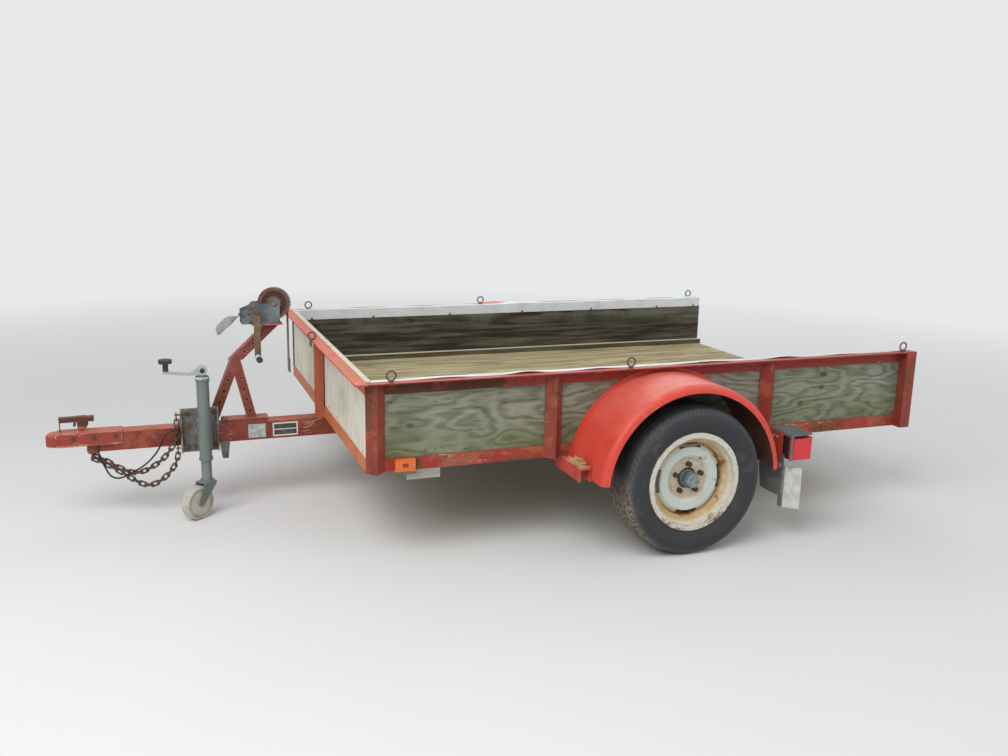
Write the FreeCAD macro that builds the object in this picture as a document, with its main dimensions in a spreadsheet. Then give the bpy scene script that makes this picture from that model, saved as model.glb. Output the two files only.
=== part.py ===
import FreeCAD, Part
import math
import os
import Sketcher

# A single-axle utility trailer: an open box bed in an angle-iron frame with plywood walls, a tube tongue with a
# coupler, a side-mounted caster jack and a hand winch on a braced stand. Millimetres. X runs forward to the coupler,
# Y to the left side, Z up. The origin is on the floor, under the middle of the length and width.

# name, value, what it is
SIZES = (
    ("bed_length", 2438, "rear face of the bed to the outer face of the front wall"),
    ("bed_width", 1730, "between the upright legs of the two side rails"),
    ("bed_low", 365, "floor to the underside of the frame"),
    ("bed_high", 705, "floor to the top of the top rails"),
    ("nose_reach", 1121, "front wall to the tip of the coupler"),
    ("axle_setback", 1219, "front wall to the axle"),
    ("leg", 50, "leg of the angle iron"),
    ("leg_t", 5, "thickness of the angle iron"),
    ("post_front_in", 35, "front wall to the middle of the front post"),
    ("post_before", 80, "fender's front to the middle of the post before the wheel"),
    ("post_behind", 113, "fender's back to the middle of the post behind the wheel"),
    ("ply_t", 15, "plywood walls"),
    ("panel_gap", 2, "seam between the two front panels"),
    ("beam_h", 25, "height of the floor beams"),
    ("beam_w", 50, "width of the floor beams"),
    ("beam_front_in", 200, "front wall to the first floor beam"),
    ("beam_second_in", 620, "front wall to the second floor beam"),
    ("beam_middle_in", 1044, "front wall to the beam over the cross-member"),
    ("beam_fourth_in", 1560, "front wall to the fourth floor beam"),
    ("beam_rear_in", 2060, "front wall to the last floor beam"),
    ("cross_h", 50, "height of the channel that carries the tongue's rear end, below the frame"),
    ("plank_t", 36, "floor planks"),
    ("plank_gap", 4, "gap between planks"),
    ("plank_count", 12, "planks across the bed"),
    ("batten_w", 36, "batten at the foot of the right wall"),
    ("batten_h", 28, "height of that batten"),
    ("trim_t", 2, "galvanised trim on the side walls"),
    ("trim_over", 19, "trim lying over the rail, outside the wall's face"),
    ("trim_drop", 48, "depth of the trim's inner leg"),
    ("strip_t", 4, "thickness of the cream strip on the front wall"),
    ("strip_over", 15, "strip's ends beyond the walls"),
    ("eye_front_in", 89, "front wall to the first tie-down eye"),
    ("eye_middle_in", 1044, "front wall to the second tie-down eye"),
    ("eye_rear_in", 2377, "front wall to the third tie-down eye"),
    ("eye_out", 30, "eye's middle outside the wall"),
    ("eye_r", 17, "middle radius of the eye"),
    ("eye_wire_r", 3.25, "radius of the eye's wire"),
    ("bolt_r", 4, "shank of the eye bolts"),
    ("bolt_clear", 0.5, "clearance of the shank in the rail"),
    ("washer_r", 9, "washer of the eye bolts"),
    ("washer_t", 3, "its thickness"),
    ("nut_r", 7.5, "nut of the eye bolts"),
    ("nut_t", 7, "its thickness"),
    ("ring_r", 15.5, "middle radius of the ring on the front rail"),
    ("ring_wire_r", 3.5, "radius of its wire"),
    ("tab_w", 30, "width of the tab below that ring"),
    ("tab_t", 5, "its thickness"),
    ("tab_drop", 27, "its depth below the rail's top"),
    ("tab_hole_r", 6, "hole in the tab"),
    ("marker_front_in", 104, "front wall to the front end of the side lamp"),
    ("marker_l", 76, "length of the side lamp"),
    ("marker_h", 46, "height of the side lamp"),
    ("marker_t", 20, "depth of the side lamp"),
    ("marker_up", 2, "frame's underside to the side lamp"),
    ("block_front_in", 153, "front wall to the wood block"),
    ("block_l", 127, "length of the wood block"),
    ("block_w", 148, "width of the wood block"),
    ("block_h", 38, "height of the wood block"),
    ("wheel_r", 295, "tyre radius"),
    ("tyre_w", 195, "tyre width"),
    ("wheel_out", 180, "wheel's middle plane outside the bed"),
    ("bulge_r", 258, "radius at which the tyre is widest"),
    ("tread_half", 82, "half width of the flat tread"),
    ("tyre_over", 1, "rim's lip to the tyre's side"),
    ("bead_r", 179, "bead seat of the rim"),
    ("rim_lip_r", 196, "outer radius of the rim"),
    ("rim_half", 80, "half width of the rim"),
    ("rim_t", 4.5, "metal of the rim"),
    ("well_r", 152, "drop of the rim"),
    ("disc_t", 5, "wheel disc"),
    ("disc_seat", 17, "hub face outside the wheel's middle plane"),
    ("disc_crown", 14, "crown of the disc beyond its seat"),
    ("disc_bore_r", 41, "bore of the disc"),
    ("disc_flat_r", 76, "flat middle of the disc"),
    ("crown_in_r", 95, "inner radius of the crown"),
    ("crown_out_r", 124, "outer radius of the crown"),
    ("slot_in_r", 129, "inner radius of the slots in the disc"),
    ("slot_out_r", 143, "outer radius of the slots"),
    ("slot_half", 46, "half length of a slot"),
    ("hub_r", 35, "hub barrel"),
    ("hub_flange_r", 70, "hub flange"),
    ("hub_flange_t", 8, "its thickness"),
    ("hub_in", 55, "hub's inner end inside the wheel's middle plane"),
    ("hub_cap_r", 27, "grease cap"),
    ("hub_step", 44, "hub barrel's outer end outside the middle plane"),
    ("hub_out", 75, "grease cap's end outside the middle plane"),
    ("lug_circle_r", 57.15, "circle of the wheel nuts"),
    ("lug_r", 10, "wheel nut"),
    ("lug_h", 16, "its height"),
    ("lug_clear", 0.2, "nut to disc"),
    ("spindle_r", 16, "axle spindle"),
    ("spindle_clear", 0.3, "clearance of the hub on the spindle"),
    ("spindle_out", 65, "spindle's end outside the wheel's middle plane"),
    ("axle_side", 45, "square axle beam"),
    ("axle_gap", 5, "beam's end to the hub"),
    ("spring_in", 23, "spring's middle inside the bed's side"),
    ("spring_w", 40, "leaf width"),
    ("leaf_t", 6, "leaf thickness"),
    ("spring_end_in", 53, "fender's radius to the spring eyes"),
    ("leaf_middle_in", 85, "spring eye to the second leaf's end"),
    ("leaf_short_in", 175, "spring eye to the third leaf's end"),
    ("spring_round", 4540, "radius of the spring's curve"),
    ("eye_rise", 3, "spring eye's middle above the main leaf's top"),
    ("spring_eye_r", 11, "spring eye"),
    ("pin_r", 6, "hanger pin"),
    ("pin_clear", 0.2, "clearance of the pin in the spring eye"),
    ("hanger_w", 30, "hanger plate"),
    ("hanger_t", 4.5, "its thickness"),
    ("hanger_clear", 0.5, "hanger plate to the spring"),
    ("clamp_out", 28, "clamp bolts before and behind the axle's middle"),
    ("clamp_r", 4.5, "clamp bolt"),
    ("clamp_t", 6, "clamp plate"),
    ("clamp_clear", 0.3, "clamp plate to the spring"),
    ("clamp_half", 40, "half length of the clamp plate"),
    ("fender_r", 388, "outer radius of the fender"),
    ("fender_ahead", 20, "fender's middle ahead of the axle"),
    ("fender_w", 282, "frame to the fender's outer edge"),
    ("fender_t", 3, "fender sheet"),
    ("fender_lip_r", 25, "rolled outer edge"),
    ("fender_lip_drop", 6, "straight end of the rolled edge"),
    ("fender_flange", 14, "flange against the frame"),
    ("fender_up", 322, "floor to the fender's ends"),
    ("arm_w", 47, "channel that carries a fender's end"),
    ("arm_h", 50, "its height"),
    ("arm_t", 5, "its thickness"),
    ("arm_out", 190, "its end outside the bed's side"),
    ("arm_in", 45, "its end inside the bed's side"),
    ("arm_clear", 0.2, "fender to the channel"),
    ("bracket_in", 120, "tail lamp bracket, from the bed's side"),
    ("bracket_out", 225, "its outer edge, from the bed's side"),
    ("bracket_low", 330, "floor to its lower edge"),
    ("bracket_high", 446, "floor to its upper edge"),
    ("bracket_t", 5, "its thickness"),
    ("bracket_hole_r", 5, "its holes"),
    ("bracket_pitch", 22, "spacing of its holes"),
    ("hood_in", 135, "lamp hood, from the bed's side"),
    ("hood_out", 275, "its outer face, from the bed's side"),
    ("hood_l", 98, "its length"),
    ("hood_top", 452, "floor to its top"),
    ("hood_t", 6, "its thickness"),
    ("hood_band", 12, "width of its front band"),
    ("hood_foot", 346, "floor to the band's lower end"),
    ("lamp_gap", 10, "bracket to the lamp body"),
    ("lamp_l", 84, "length of the lamp body"),
    ("lamp_in", 140, "lamp body, from the bed's side"),
    ("lamp_out", 252, "its outer face, from the bed's side"),
    ("lens_t", 18, "lens over the lamp body's side and back"),
    ("lens_low", 345, "floor to the lens"),
    ("lens_high", 432, "floor to the lens's top"),
    ("lens_bevel", 10, "bevel of the lens"),
    ("flap_in", 60, "mud flap, from the bed's side"),
    ("flap_out", 235, "its outer edge, from the bed's side"),
    ("flap_low", 185, "floor to its lower edge"),
    ("flap_high", 362, "floor to its upper edge"),
    ("flap_slant", 37, "slant of its inner edge"),
    ("flap_t", 4, "its thickness"),
    ("strap_in", 212, "white strip's foot on the flap, from the bed's side"),
    ("strap_out", 282, "its outer edge, from the bed's side"),
    ("strap_back", 58, "how far it bends back"),
    ("strap_low", 142, "floor to its lower edge"),
    ("strap_high", 312, "floor to its upper edge"),
    ("tongue_w", 76, "width of the tongue tube"),
    ("tongue_h", 78, "height of the tongue tube"),
    ("tongue_t", 5, "its wall"),
    ("tongue_under", 1019, "front wall to the tongue's rear end, under the bed"),
    ("tongue_short", 153, "tongue's front end to the tip of the coupler"),
    ("coupler_l", 290, "length of the coupler"),
    ("coupler_t", 4, "its sheet"),
    ("coupler_drop", 48, "frame's underside to the coupler's lower edge"),
    ("coupler_flange", 8, "outward flange on its lower edge"),
    ("nose_r", 42, "round nose of the coupler"),
    ("nose_round", 19, "rounding of the nose's top"),
    ("ball_r", 25.4, "hitch ball"),
    ("ball_clear", 0.2, "clearance of the ball in the socket"),
    ("socket_top", 37, "frame's underside to the middle of the ball"),
    ("latch_rear", 185, "coupler's tip to the rear of the latch lever"),
    ("latch_front", 54, "coupler's tip to the front of the latch lever"),
    ("latch_low", 41, "coupler's top to the lever's underside"),
    ("latch_h", 21, "lever's height"),
    ("latch_w", 23, "lever's width"),
    ("latch_t", 3, "lever's sheet"),
    ("ear_l", 34, "length of the ears that hold the lever"),
    ("ear_back", 122, "coupler's tip to the ears"),
    ("ear_t", 4, "ear thickness"),
    ("ear_clear", 0.5, "lever to the ears"),
    ("latch_pin_r", 4, "pin of the lever"),
    ("hook_w", 16, "hook tab at the lever's front"),
    ("chain_back", 175, "coupler's tip to the chain bracket"),
    ("chain_plate", 8, "thickness of the chain bracket"),
    ("chain_plate_l", 34, "its length"),
    ("chain_eye_r", 13, "middle radius of its two eyes"),
    ("chain_eye_out", 18, "eyes left and right of the middle"),
    ("chain_wire_r", 4, "radius of their wire"),
    ("link_l", 27, "inner length of a chain link"),
    ("link_w", 11, "its inner width"),
    ("link_wire", 6, "its wire"),
    ("link_gap", 0.4, "play between links"),
    ("peg_r", 3.5, "pegs on the jack mount that hold the chains' ends"),
    ("peg_over", 5, "pegs beyond the last links"),
    ("cord_r", 3.5, "radius of the wiring cord"),
    ("stand_side", 40, "winch stand's tube, seen from the side"),
    ("stand_w", 44, "its width across"),
    ("stand_t", 3, "its wall"),
    ("stand_foot", 476, "front wall to the leg's foot"),
    ("stand_knee", 368, "front wall to the knee"),
    ("stand_knee_up", 272, "tongue's top to the knee"),
    ("stand_head", 211, "front wall to the top of the arm"),
    ("stand_head_up", 420, "tongue's top to the top of the arm"),
    ("brace_foot", 305, "front wall to the brace's foot"),
    ("stand_hole_r", 5, "holes along the stand"),
    ("stand_hole_pitch", 50, "their spacing"),
    ("base_rear", 65, "stand's base plate behind the brace's foot"),
    ("base_l", 193, "its length"),
    ("base_half", 34, "its half width"),
    ("base_h", 18, "its height"),
    ("seat_rear", 171, "front wall to the winch seat's rear edge"),
    ("seat_l", 126, "length of the winch seat"),
    ("seat_w", 96, "its width"),
    ("seat_t", 6, "its thickness"),
    ("winch_rear", 181, "front wall to the winch frame's rear edge"),
    ("winch_l", 157, "length of the winch frame"),
    ("winch_body_l", 106, "length of its tall part"),
    ("winch_h", 86, "height of its tall part"),
    ("winch_nose_h", 56, "height of its front part"),
    ("winch_half", 44, "half width over its side plates"),
    ("winch_t", 4, "its plates"),
    ("drum_ahead", 203, "front wall to the drum's axis"),
    ("drum_up", 84, "winch seat's top to the drum's axis"),
    ("drum_shaft_r", 8, "drum shaft"),
    ("drum_lobe_r", 24, "lobe of the side plate around the drum shaft"),
    ("shaft_clear", 0.3, "clearance of the shafts in the side plates"),
    ("roll_r", 58, "wound strap"),
    ("roll_out", 24, "left face of the wound strap"),
    ("roll_in", 35, "right face of the wound strap"),
    ("gear_r", 70, "drum gear"),
    ("gear_in", 27, "right face of the gear"),
    ("gear_w", 9, "its width"),
    ("pinion_r", 12.3, "pinion on the crank shaft"),
    ("pinion_ahead", 281, "front wall to the crank's axis"),
    ("pinion_up", 55, "winch seat's top to the crank's axis"),
    ("crank_shaft_r", 6, "crank shaft"),
    ("shaft_over", 6, "shafts beyond the side plates"),
    ("crank_out", 80, "crank arm's inner face, from the middle"),
    ("crank_t", 6, "crank arm"),
    ("crank_w", 26, "its width"),
    ("crank_reach", 190, "crank's axis to the grip"),
    ("grip_r", 13, "crank grip"),
    ("grip_l", 56, "its length"),
    ("grip_gap", 0.3, "grip to the arm"),
    ("guide_r", 5, "bolt across the winch's nose"),
    ("guide_in", 6, "winch's nose to that bolt's middle"),
    ("guide_up", 35, "winch seat's top to its middle"),
    ("strap_t", 3, "webbing"),
    ("strap_gap", 0.6, "that bolt to the pale strap"),
    ("strap_run", 88, "how far the pale strap reaches ahead of the winch"),
    ("strap_drop", 71, "how far it droops"),
    ("strap_lean", 24, "degrees below level where it starts"),
    ("strap_top_w", 50, "its width at the winch"),
    ("strap_end_w", 76, "its width at the end"),
    ("tail_w", 46, "strap that hangs from the drum"),
    ("tail_low", 571, "floor to its lower end"),
    ("tail_fold", 60, "length of its folded end"),
    ("tail_gap", 0.3, "wound strap to the hanging strap"),
    ("plate_pale_in", 255, "front wall to the pale plate on the tongue"),
    ("plate_pale_l", 73, "its length"),
    ("plate_dark_in", 118, "front wall to the dark plate on the tongue"),
    ("plate_dark_l", 107, "its length"),
    ("plate_h", 60, "height of both plates"),
    ("plate_t", 1, "their thickness"),
    ("plate_drop", 9, "tongue's top to the plates"),
    ("jack_ahead", 511, "front wall to the jack's axis"),
    ("jack_out", 125, "jack's axis, from the middle"),
    ("mount_rear", 61, "jack's axis to the mount's rear edge"),
    ("mount_front", 93, "jack's axis to the mount's front edge"),
    ("mount_high", 446, "floor to the mount's top"),
    ("mount_low", 257, "floor to the mount's lower edge"),
    ("mount_t", 6, "mount plates"),
    ("mount_lip", 26, "flanges of the mount plate"),
    ("mount_bolt_r", 5, "bolts over and under the tongue"),
    ("mount_bolt_clear", 1, "bolts to the tongue"),
    ("pivot_up", 350, "floor to the jack's pivot"),
    ("boss_r", 30, "pivot boss"),
    ("boss_l", 16, "its length"),
    ("pivot_r", 9, "pivot pin"),
    ("pivot_clear", 0.3, "clearance at the pivot"),
    ("saddle_l", 56, "saddle that holds the jack tube, along the tongue"),
    ("saddle_h", 110, "its height"),
    ("jack_r", 25, "jack's outer tube"),
    ("jack_low", 242, "floor to the outer tube's lower end"),
    ("jack_high", 590, "floor to the outer tube's top"),
    ("leg_r", 21, "jack's inner tube"),
    ("leg_clear", 0.4, "clearance between the tubes"),
    ("leg_wall", 3, "wall of the inner tube"),
    ("leg_top_gap", 90, "inner tube's top below the cap"),
    ("collar_r", 28, "collars on the outer tube"),
    ("collar_h", 12, "their height"),
    ("head_r", 18, "neck of the jack's head"),
    ("head_h", 12, "its height"),
    ("handle_gap", 0.4, "handle to the head"),
    ("handle_boss_r", 21, "round end of the jack handle"),
    ("handle_reach", 140, "jack's axis to the knob"),
    ("handle_w", 22, "thickness of the handle's round end"),
    ("handle_t", 12, "height of the handle's arm"),
    ("knob_stem_r", 11, "knob's stem"),
    ("knob_stem_h", 32, "its height"),
    ("knob_r", 26, "knob's cap"),
    ("knob_h", 15, "its height"),
    ("caster_r", 70, "caster wheel"),
    ("caster_w", 42, "its width"),
    ("caster_trail", 55, "swivel axis to the caster's axle"),
    ("caster_turn", 38, "degrees from straight ahead to the caster's direction"),
    ("fork_gap", 6, "caster's tread to the fork plate"),
    ("fork_t", 5, "fork plate and cheeks"),
    ("fork_side", 3, "caster wheel to the cheeks"),
    ("fork_back", 26, "fork plate behind the swivel axis"),
    ("fork_front", 34, "fork plate before the swivel axis"),
    ("swivel_gap", 0.4, "fork plate to the inner tube's foot"),
    ("foot_t", 5, "foot plate of the inner tube"),
    ("foot_r", 30, "its radius"),
    ("stem_r", 10, "swivel stem in the foot plate"),
    ("caster_pin_r", 6, "caster's axle"),
    ("stem_clear", 0.3, "clearance of stem and axle"),
    ("tab_low", 72, "depth of the dark tab under the tongue"),
    ("tab_l", 44, "its length at the top"),
    ("under_tab_ahead", 405, "front wall to the dark tab's rear edge"),
    ("under_tab_t", 8, "its thickness"),
)

os.makedirs("parts", exist_ok=True)
doc = FreeCAD.newDocument("UtilityTrailer")
sheet = doc.addObject("Spreadsheet::Sheet", "Sizes")
for row, (name, value, note) in enumerate(SIZES, 1):
    sheet.set(f"A{row}", name)
    sheet.set(f"B{row}", str(value))
    sheet.set(f"C{row}", note)
    sheet.setAlias(f"B{row}", name)
doc.recompute()


class Size:
    """A length with its present number and the expression over the sheet that gives it."""

    def __init__(self, number, text):
        self.number = number
        self.text = text

    def __add__(self, other):
        other = as_size(other)
        return Size(self.number + other.number, f"({self.text} + {other.text})")

    def __radd__(self, other):
        return as_size(other) + self

    def __sub__(self, other):
        other = as_size(other)
        return Size(self.number - other.number, f"({self.text} - {other.text})")

    def __rsub__(self, other):
        return as_size(other) - self

    def __mul__(self, other):
        other = as_size(other)
        return Size(self.number * other.number, f"({self.text} * {other.text})")

    def __rmul__(self, other):
        return as_size(other) * self

    def __truediv__(self, other):
        other = as_size(other)
        return Size(self.number / other.number, f"({self.text} / {other.text})")

    def __neg__(self):
        return Size(-self.number, f"(-1 * {self.text})")


def as_size(value):
    if isinstance(value, Size):
        return value
    return Size(float(value), f"({value})")


def size(name):
    return Size(float(sheet.get(name)), f"Sizes.{name}")


def root(value):
    return Size(math.sqrt(value.number), f"sqrt({value.text})")


def arc_between(start, end, radius):
    """The arc from start to end, counter-clockwise for a radius above zero and clockwise below."""
    chord = end - start
    half_chord = chord.Length / 2
    left = FreeCAD.Vector(-chord.y, chord.x, 0) / chord.Length
    rise = math.sqrt(max(radius * radius - half_chord * half_chord, 0))
    centre = (start + end) / 2 + left * (rise if radius > 0 else -rise)
    a, b = (start, end) if radius > 0 else (end, start)
    first = math.atan2(a.y - centre.y, a.x - centre.x)
    last = math.atan2(b.y - centre.y, b.x - centre.x)
    circle = Part.Circle(centre, FreeCAD.Vector(0, 0, 1), abs(radius))
    return Part.ArcOfCircle(circle, first, last)


def outline(body, plane, corners, offset):
    """A closed sketch through (u, v) corners; (u, v, radius) bends the edge that leaves that corner."""
    sketch = body.newObject("Sketcher::SketchObject", body.Name + "Outline")
    origin = [item for item in body.Origin.OriginFeatures if item.Role == plane][0]
    sketch.AttachmentSupport = (origin, "")
    sketch.MapMode = "FlatFace"
    sketch.setExpression("AttachmentOffset.Base.z", offset.text)
    points = [FreeCAD.Vector(as_size(c[0]).number, as_size(c[1]).number, 0) for c in corners]
    starts = []
    ends = []
    for index, corner in enumerate(corners):
        start = points[index]
        end = points[(index + 1) % len(points)]
        if len(corner) == 3:
            radius = as_size(corner[2])
            edge_id = sketch.addGeometry(arc_between(start, end, radius.number))
            starts.append((edge_id, 1 if radius.number > 0 else 2))
            ends.append((edge_id, 2 if radius.number > 0 else 1))
            number = sketch.addConstraint(Sketcher.Constraint("Radius", edge_id, abs(radius.number)))
            sketch.renameConstraint(number, f"radius{index}")
            bound = radius if radius.number > 0 else -radius
            sketch.setExpression(f"Constraints.radius{index}", bound.text)
        else:
            edge_id = sketch.addGeometry(Part.LineSegment(start, end))
            starts.append((edge_id, 1))
            ends.append((edge_id, 2))
    for index in range(len(corners)):
        follow = (index + 1) % len(corners)
        sketch.addConstraint(Sketcher.Constraint("Coincident", *ends[index], *starts[follow]))
    for index, corner in enumerate(corners):
        for kind, value, tag in (("DistanceX", corner[0], "u"), ("DistanceY", corner[1], "v")):
            value = as_size(value)
            number = sketch.addConstraint(Sketcher.Constraint(kind, *starts[index], value.number))
            sketch.renameConstraint(number, f"{tag}{index}")
            sketch.setExpression(f"Constraints.{tag}{index}", value.text)
    return sketch


def prism(name, plane, corners, start, end):
    """An outline carried straight from start to end along the third axis."""
    start = as_size(start)
    end = as_size(end)
    body = doc.addObject("PartDesign::Body", name)
    offset = -end if plane == "XZ_Plane" else start
    sketch = outline(body, plane, corners, offset)
    pad = body.newObject("PartDesign::Pad", name + "Pad")
    pad.Profile = sketch
    pad.setExpression("Length", (end - start).text)
    return body


def place(item, x, y, z):
    for axis, value in (("x", x), ("y", y), ("z", z)):
        item.setExpression(f"Placement.Base.{axis}", as_size(value).text)
    return item


def turned(name, corners, axis, centre, angle=360):
    """An outline of (radius, height) corners turned about Y or Z, set at its centre."""
    body = doc.addObject("PartDesign::Body", name)
    sketch = outline(body, "XY_Plane" if axis == "y" else "XZ_Plane", corners, as_size(0))
    spin = body.newObject("PartDesign::Revolution", name + "Turn")
    spin.Profile = sketch
    spin.ReferenceAxis = (sketch, ["V_Axis"])
    spin.Angle = angle
    spin.Reversed = angle < 360
    return place(body, *centre)


def block(name, x, y, z):
    item = doc.addObject("Part::Box", name)
    for key, (start, end) in (("Length", x), ("Width", y), ("Height", z)):
        item.setExpression(key, (as_size(end) - start).text)
    return place(item, x[0], y[0], z[0])


TURNS = {
    "x": FreeCAD.Rotation(FreeCAD.Vector(0, 1, 0), 90),
    "y": FreeCAD.Rotation(FreeCAD.Vector(1, 0, 0), -90),
    "z": FreeCAD.Rotation(),
}


def rod(name, axis, start, radius, length):
    item = doc.addObject("Part::Cylinder", name)
    item.setExpression("Radius", as_size(radius).text)
    item.setExpression("Height", as_size(length).text)
    item.Placement = FreeCAD.Placement(FreeCAD.Vector(), TURNS[axis])
    return place(item, *start)


def ring(name, axis, centre, radius, wire):
    item = doc.addObject("Part::Torus", name)
    item.setExpression("Radius1", as_size(radius).text)
    item.setExpression("Radius2", as_size(wire).text)
    item.Placement = FreeCAD.Placement(FreeCAD.Vector(), TURNS[axis])
    return place(item, *centre)


def join(name, items):
    item = doc.addObject("Part::MultiFuse", name)
    item.Shapes = items
    item.Refine = True
    return item


def carve(name, base, tool):
    item = doc.addObject("Part::Cut", name)
    item.Base = base
    item.Tool = tool
    return item


def group(name, items):
    item = doc.addObject("Part::Compound", name)
    item.Links = items
    return item


def mirrored(item):
    twin = doc.addObject("Part::Mirroring", item.Name + "Right")
    twin.Source = item
    twin.Base = FreeCAD.Vector(0, 0, 0)
    twin.Normal = FreeCAD.Vector(0, 1, 0)
    return twin


def both_sides(name, items):
    return group(name, list(items) + [mirrored(item) for item in items])


def both(name, first, second):
    item = doc.addObject("Part::Common", name)
    item.Base = first
    item.Tool = second
    return item


NODES = []


def node(label, item):
    item.Label = label
    NODES.append(item)
    return item


# Main places
leg = size("leg")
leg_t = size("leg_t")
half = size("bed_width") / 2
skin = half + leg_t
edge = half + leg
low = size("bed_low")
high = size("bed_high")
rear = -(size("bed_length") + size("nose_reach")) / 2
wall = rear + size("bed_length")
tip = wall + size("nose_reach")
axle = wall - size("axle_setback")
floor_low = low + leg_t
plank_low = floor_low + size("beam_h")
plank_high = plank_low + size("plank_t")
ply_t = size("ply_t")
panel_in = half - ply_t
fender_r = size("fender_r")
fender_x = axle + size("fender_ahead")

# Lower rails: the side rails run between the two end rails, whose legs turn up and in
side_lower = prism(
    "SideLowerRail",
    "YZ_Plane",
    [
        (skin - leg, low),
        (skin, low),
        (skin, low + leg),
        (half, low + leg),
        (half, floor_low),
        (skin - leg, floor_low),
    ],
    rear + leg_t,
    wall - leg_t,
)
node("side_lower_rails", both_sides("SideLowerRails", [side_lower]))

end_rails = []
for name, outer, inner, upright in (
    ("FrontLowerRail", wall - leg_t, wall - leg, wall - leg_t),
    ("RearLowerRail", rear + leg, rear + leg_t, rear),
):
    shelf = block(name + "Shelf", (inner, outer), (leg - skin, skin - leg), (low, floor_low))
    web = block(name + "Web", (upright, upright + leg_t), (-skin, skin), (low, low + leg))
    end_rails.append(join(name, [shelf, web]))
node("end_rails", group("EndRails", end_rails))

# Top rails, with holes for the tie-down eyes
eye_y = half + size("eye_out")
eye_places = [wall - size(name) for name in ("eye_front_in", "eye_middle_in", "eye_rear_in")]
top_bar = prism(
    "SideTopRailBar",
    "YZ_Plane",
    [
        (half, high - leg),
        (skin, high - leg),
        (skin, high - leg_t),
        (edge, high - leg_t),
        (edge, high),
        (half, high),
    ],
    rear,
    wall,
)
eye_holes = [
    rod(f"EyeHole{index}", "z", (x, eye_y, high - leg), size("bolt_r") + size("bolt_clear"), leg * 2)
    for index, x in enumerate(eye_places)
]
side_top = carve("SideTopRail", top_bar, group("EyeHoles", eye_holes))
node("side_top_rails", both_sides("SideTopRails", [side_top]))

front_flange = prism(
    "FrontFlange",
    "XY_Plane",
    [
        (wall - leg_t, -half),
        (wall, -half),
        (wall, -edge),
        (wall - leg_t + leg, -edge),
        (wall - leg_t + leg, edge),
        (wall, edge),
        (wall, half),
        (wall - leg_t, half),
    ],
    high - leg_t,
    high,
)
front_web = block("FrontTopWeb", (wall - leg_t, wall), (-half, half), (high - leg, high - leg_t))
node("front_top_rail", join("FrontTopRail", [front_flange, front_web]))

# Posts: angles set on the frame with their ridge outward, and a plain angle at each rear corner
ridge = leg / root(as_size(2))
ridge_in = leg_t * root(as_size(2))


def ridge_corners(u, base, sign):
    return [
        (u - ridge, base),
        (u - ridge + ridge_in, base),
        (u, base + (ridge - ridge_in) * sign),
        (u + ridge - ridge_in, base),
        (u + ridge, base),
        (u, base + ridge * sign),
    ]


posts = []
for name, x in (
    ("PostFront", wall - size("post_front_in")),
    ("PostMiddle", fender_x + fender_r + size("post_before")),
    ("PostBehind", fender_x - fender_r - size("post_behind")),
):
    posts.append(prism(name, "XY_Plane", ridge_corners(x, skin, 1), low, high - leg_t))
corner = [
    (rear, edge - leg_t),
    (rear + leg - leg_t, edge - leg_t),
    (rear + leg - leg_t, skin),
    (rear + leg, skin),
    (rear + leg, edge),
    (rear, edge),
]
posts.append(prism("PostRear", "XY_Plane", corner, low, high - leg_t))
node("side_posts", both_sides("SidePosts", posts))
front_corners = [(v, u) for u, v in ridge_corners(as_size(0), wall, 1)]
node("front_post", prism("FrontPost", "XY_Plane", front_corners, low, high - leg_t))

# Floor: angle beams on the side rails, the channel that holds the tongue's rear end, planks and a batten
beams = []
beam_w = size("beam_w")
for index, key in enumerate(("beam_front_in", "beam_second_in", "beam_middle_in", "beam_fourth_in", "beam_rear_in")):
    x = wall - size(key)
    corners = [
        (x - beam_w / 2, plank_low - leg_t),
        (x + beam_w / 2 - leg_t, plank_low - leg_t),
        (x + beam_w / 2 - leg_t, floor_low),
        (x + beam_w / 2, floor_low),
        (x + beam_w / 2, plank_low),
        (x - beam_w / 2, plank_low),
    ]
    beams.append(prism(f"FloorBeam{index}", "XZ_Plane", corners, -panel_in, panel_in))
tongue_rear = wall - size("tongue_under")
cross_low = low - size("cross_h")
cross_corners = [
    (tongue_rear - leg, cross_low),
    (tongue_rear, cross_low),
    (tongue_rear, floor_low),
    (tongue_rear - leg, floor_low),
    (tongue_rear - leg, floor_low - leg_t),
    (tongue_rear - leg_t, floor_low - leg_t),
    (tongue_rear - leg_t, cross_low + leg_t),
    (tongue_rear - leg, cross_low + leg_t),
]
beams.append(prism("CrossChannel", "XZ_Plane", cross_corners, leg - skin, skin - leg))
node("floor_beams", group("FloorBeams", beams))

plank_gap = size("plank_gap")
plank_count = size("plank_count")
plank_w = (panel_in * 2 - plank_gap * (plank_count - 1)) / plank_count
planks = []
for index in range(int(plank_count.number)):
    side = -panel_in + (plank_w + plank_gap) * index
    planks.append(block(f"Plank{index}", (rear + leg_t, wall - leg_t - ply_t), (side, side + plank_w), (plank_low, plank_high)))
batten = block(
    "Batten",
    (rear + leg_t, wall - leg_t - ply_t),
    (-panel_in, -panel_in + size("batten_w")),
    (plank_high, plank_high + size("batten_h")),
)
node("floor_planks", group("FloorPlanks", planks + [batten]))

# Plywood walls
side_panel = block("SidePanel", (rear + leg_t, wall - leg_t), (panel_in, half), (floor_low, high))
node("side_panels", both_sides("SidePanels", [side_panel]))
front_panel = block(
    "FrontPanel",
    (wall - leg_t - ply_t, wall - leg_t),
    (size("panel_gap") / 2, panel_in),
    (floor_low, high),
)
node("front_panels", both_sides("FrontPanels", [front_panel]))

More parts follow.
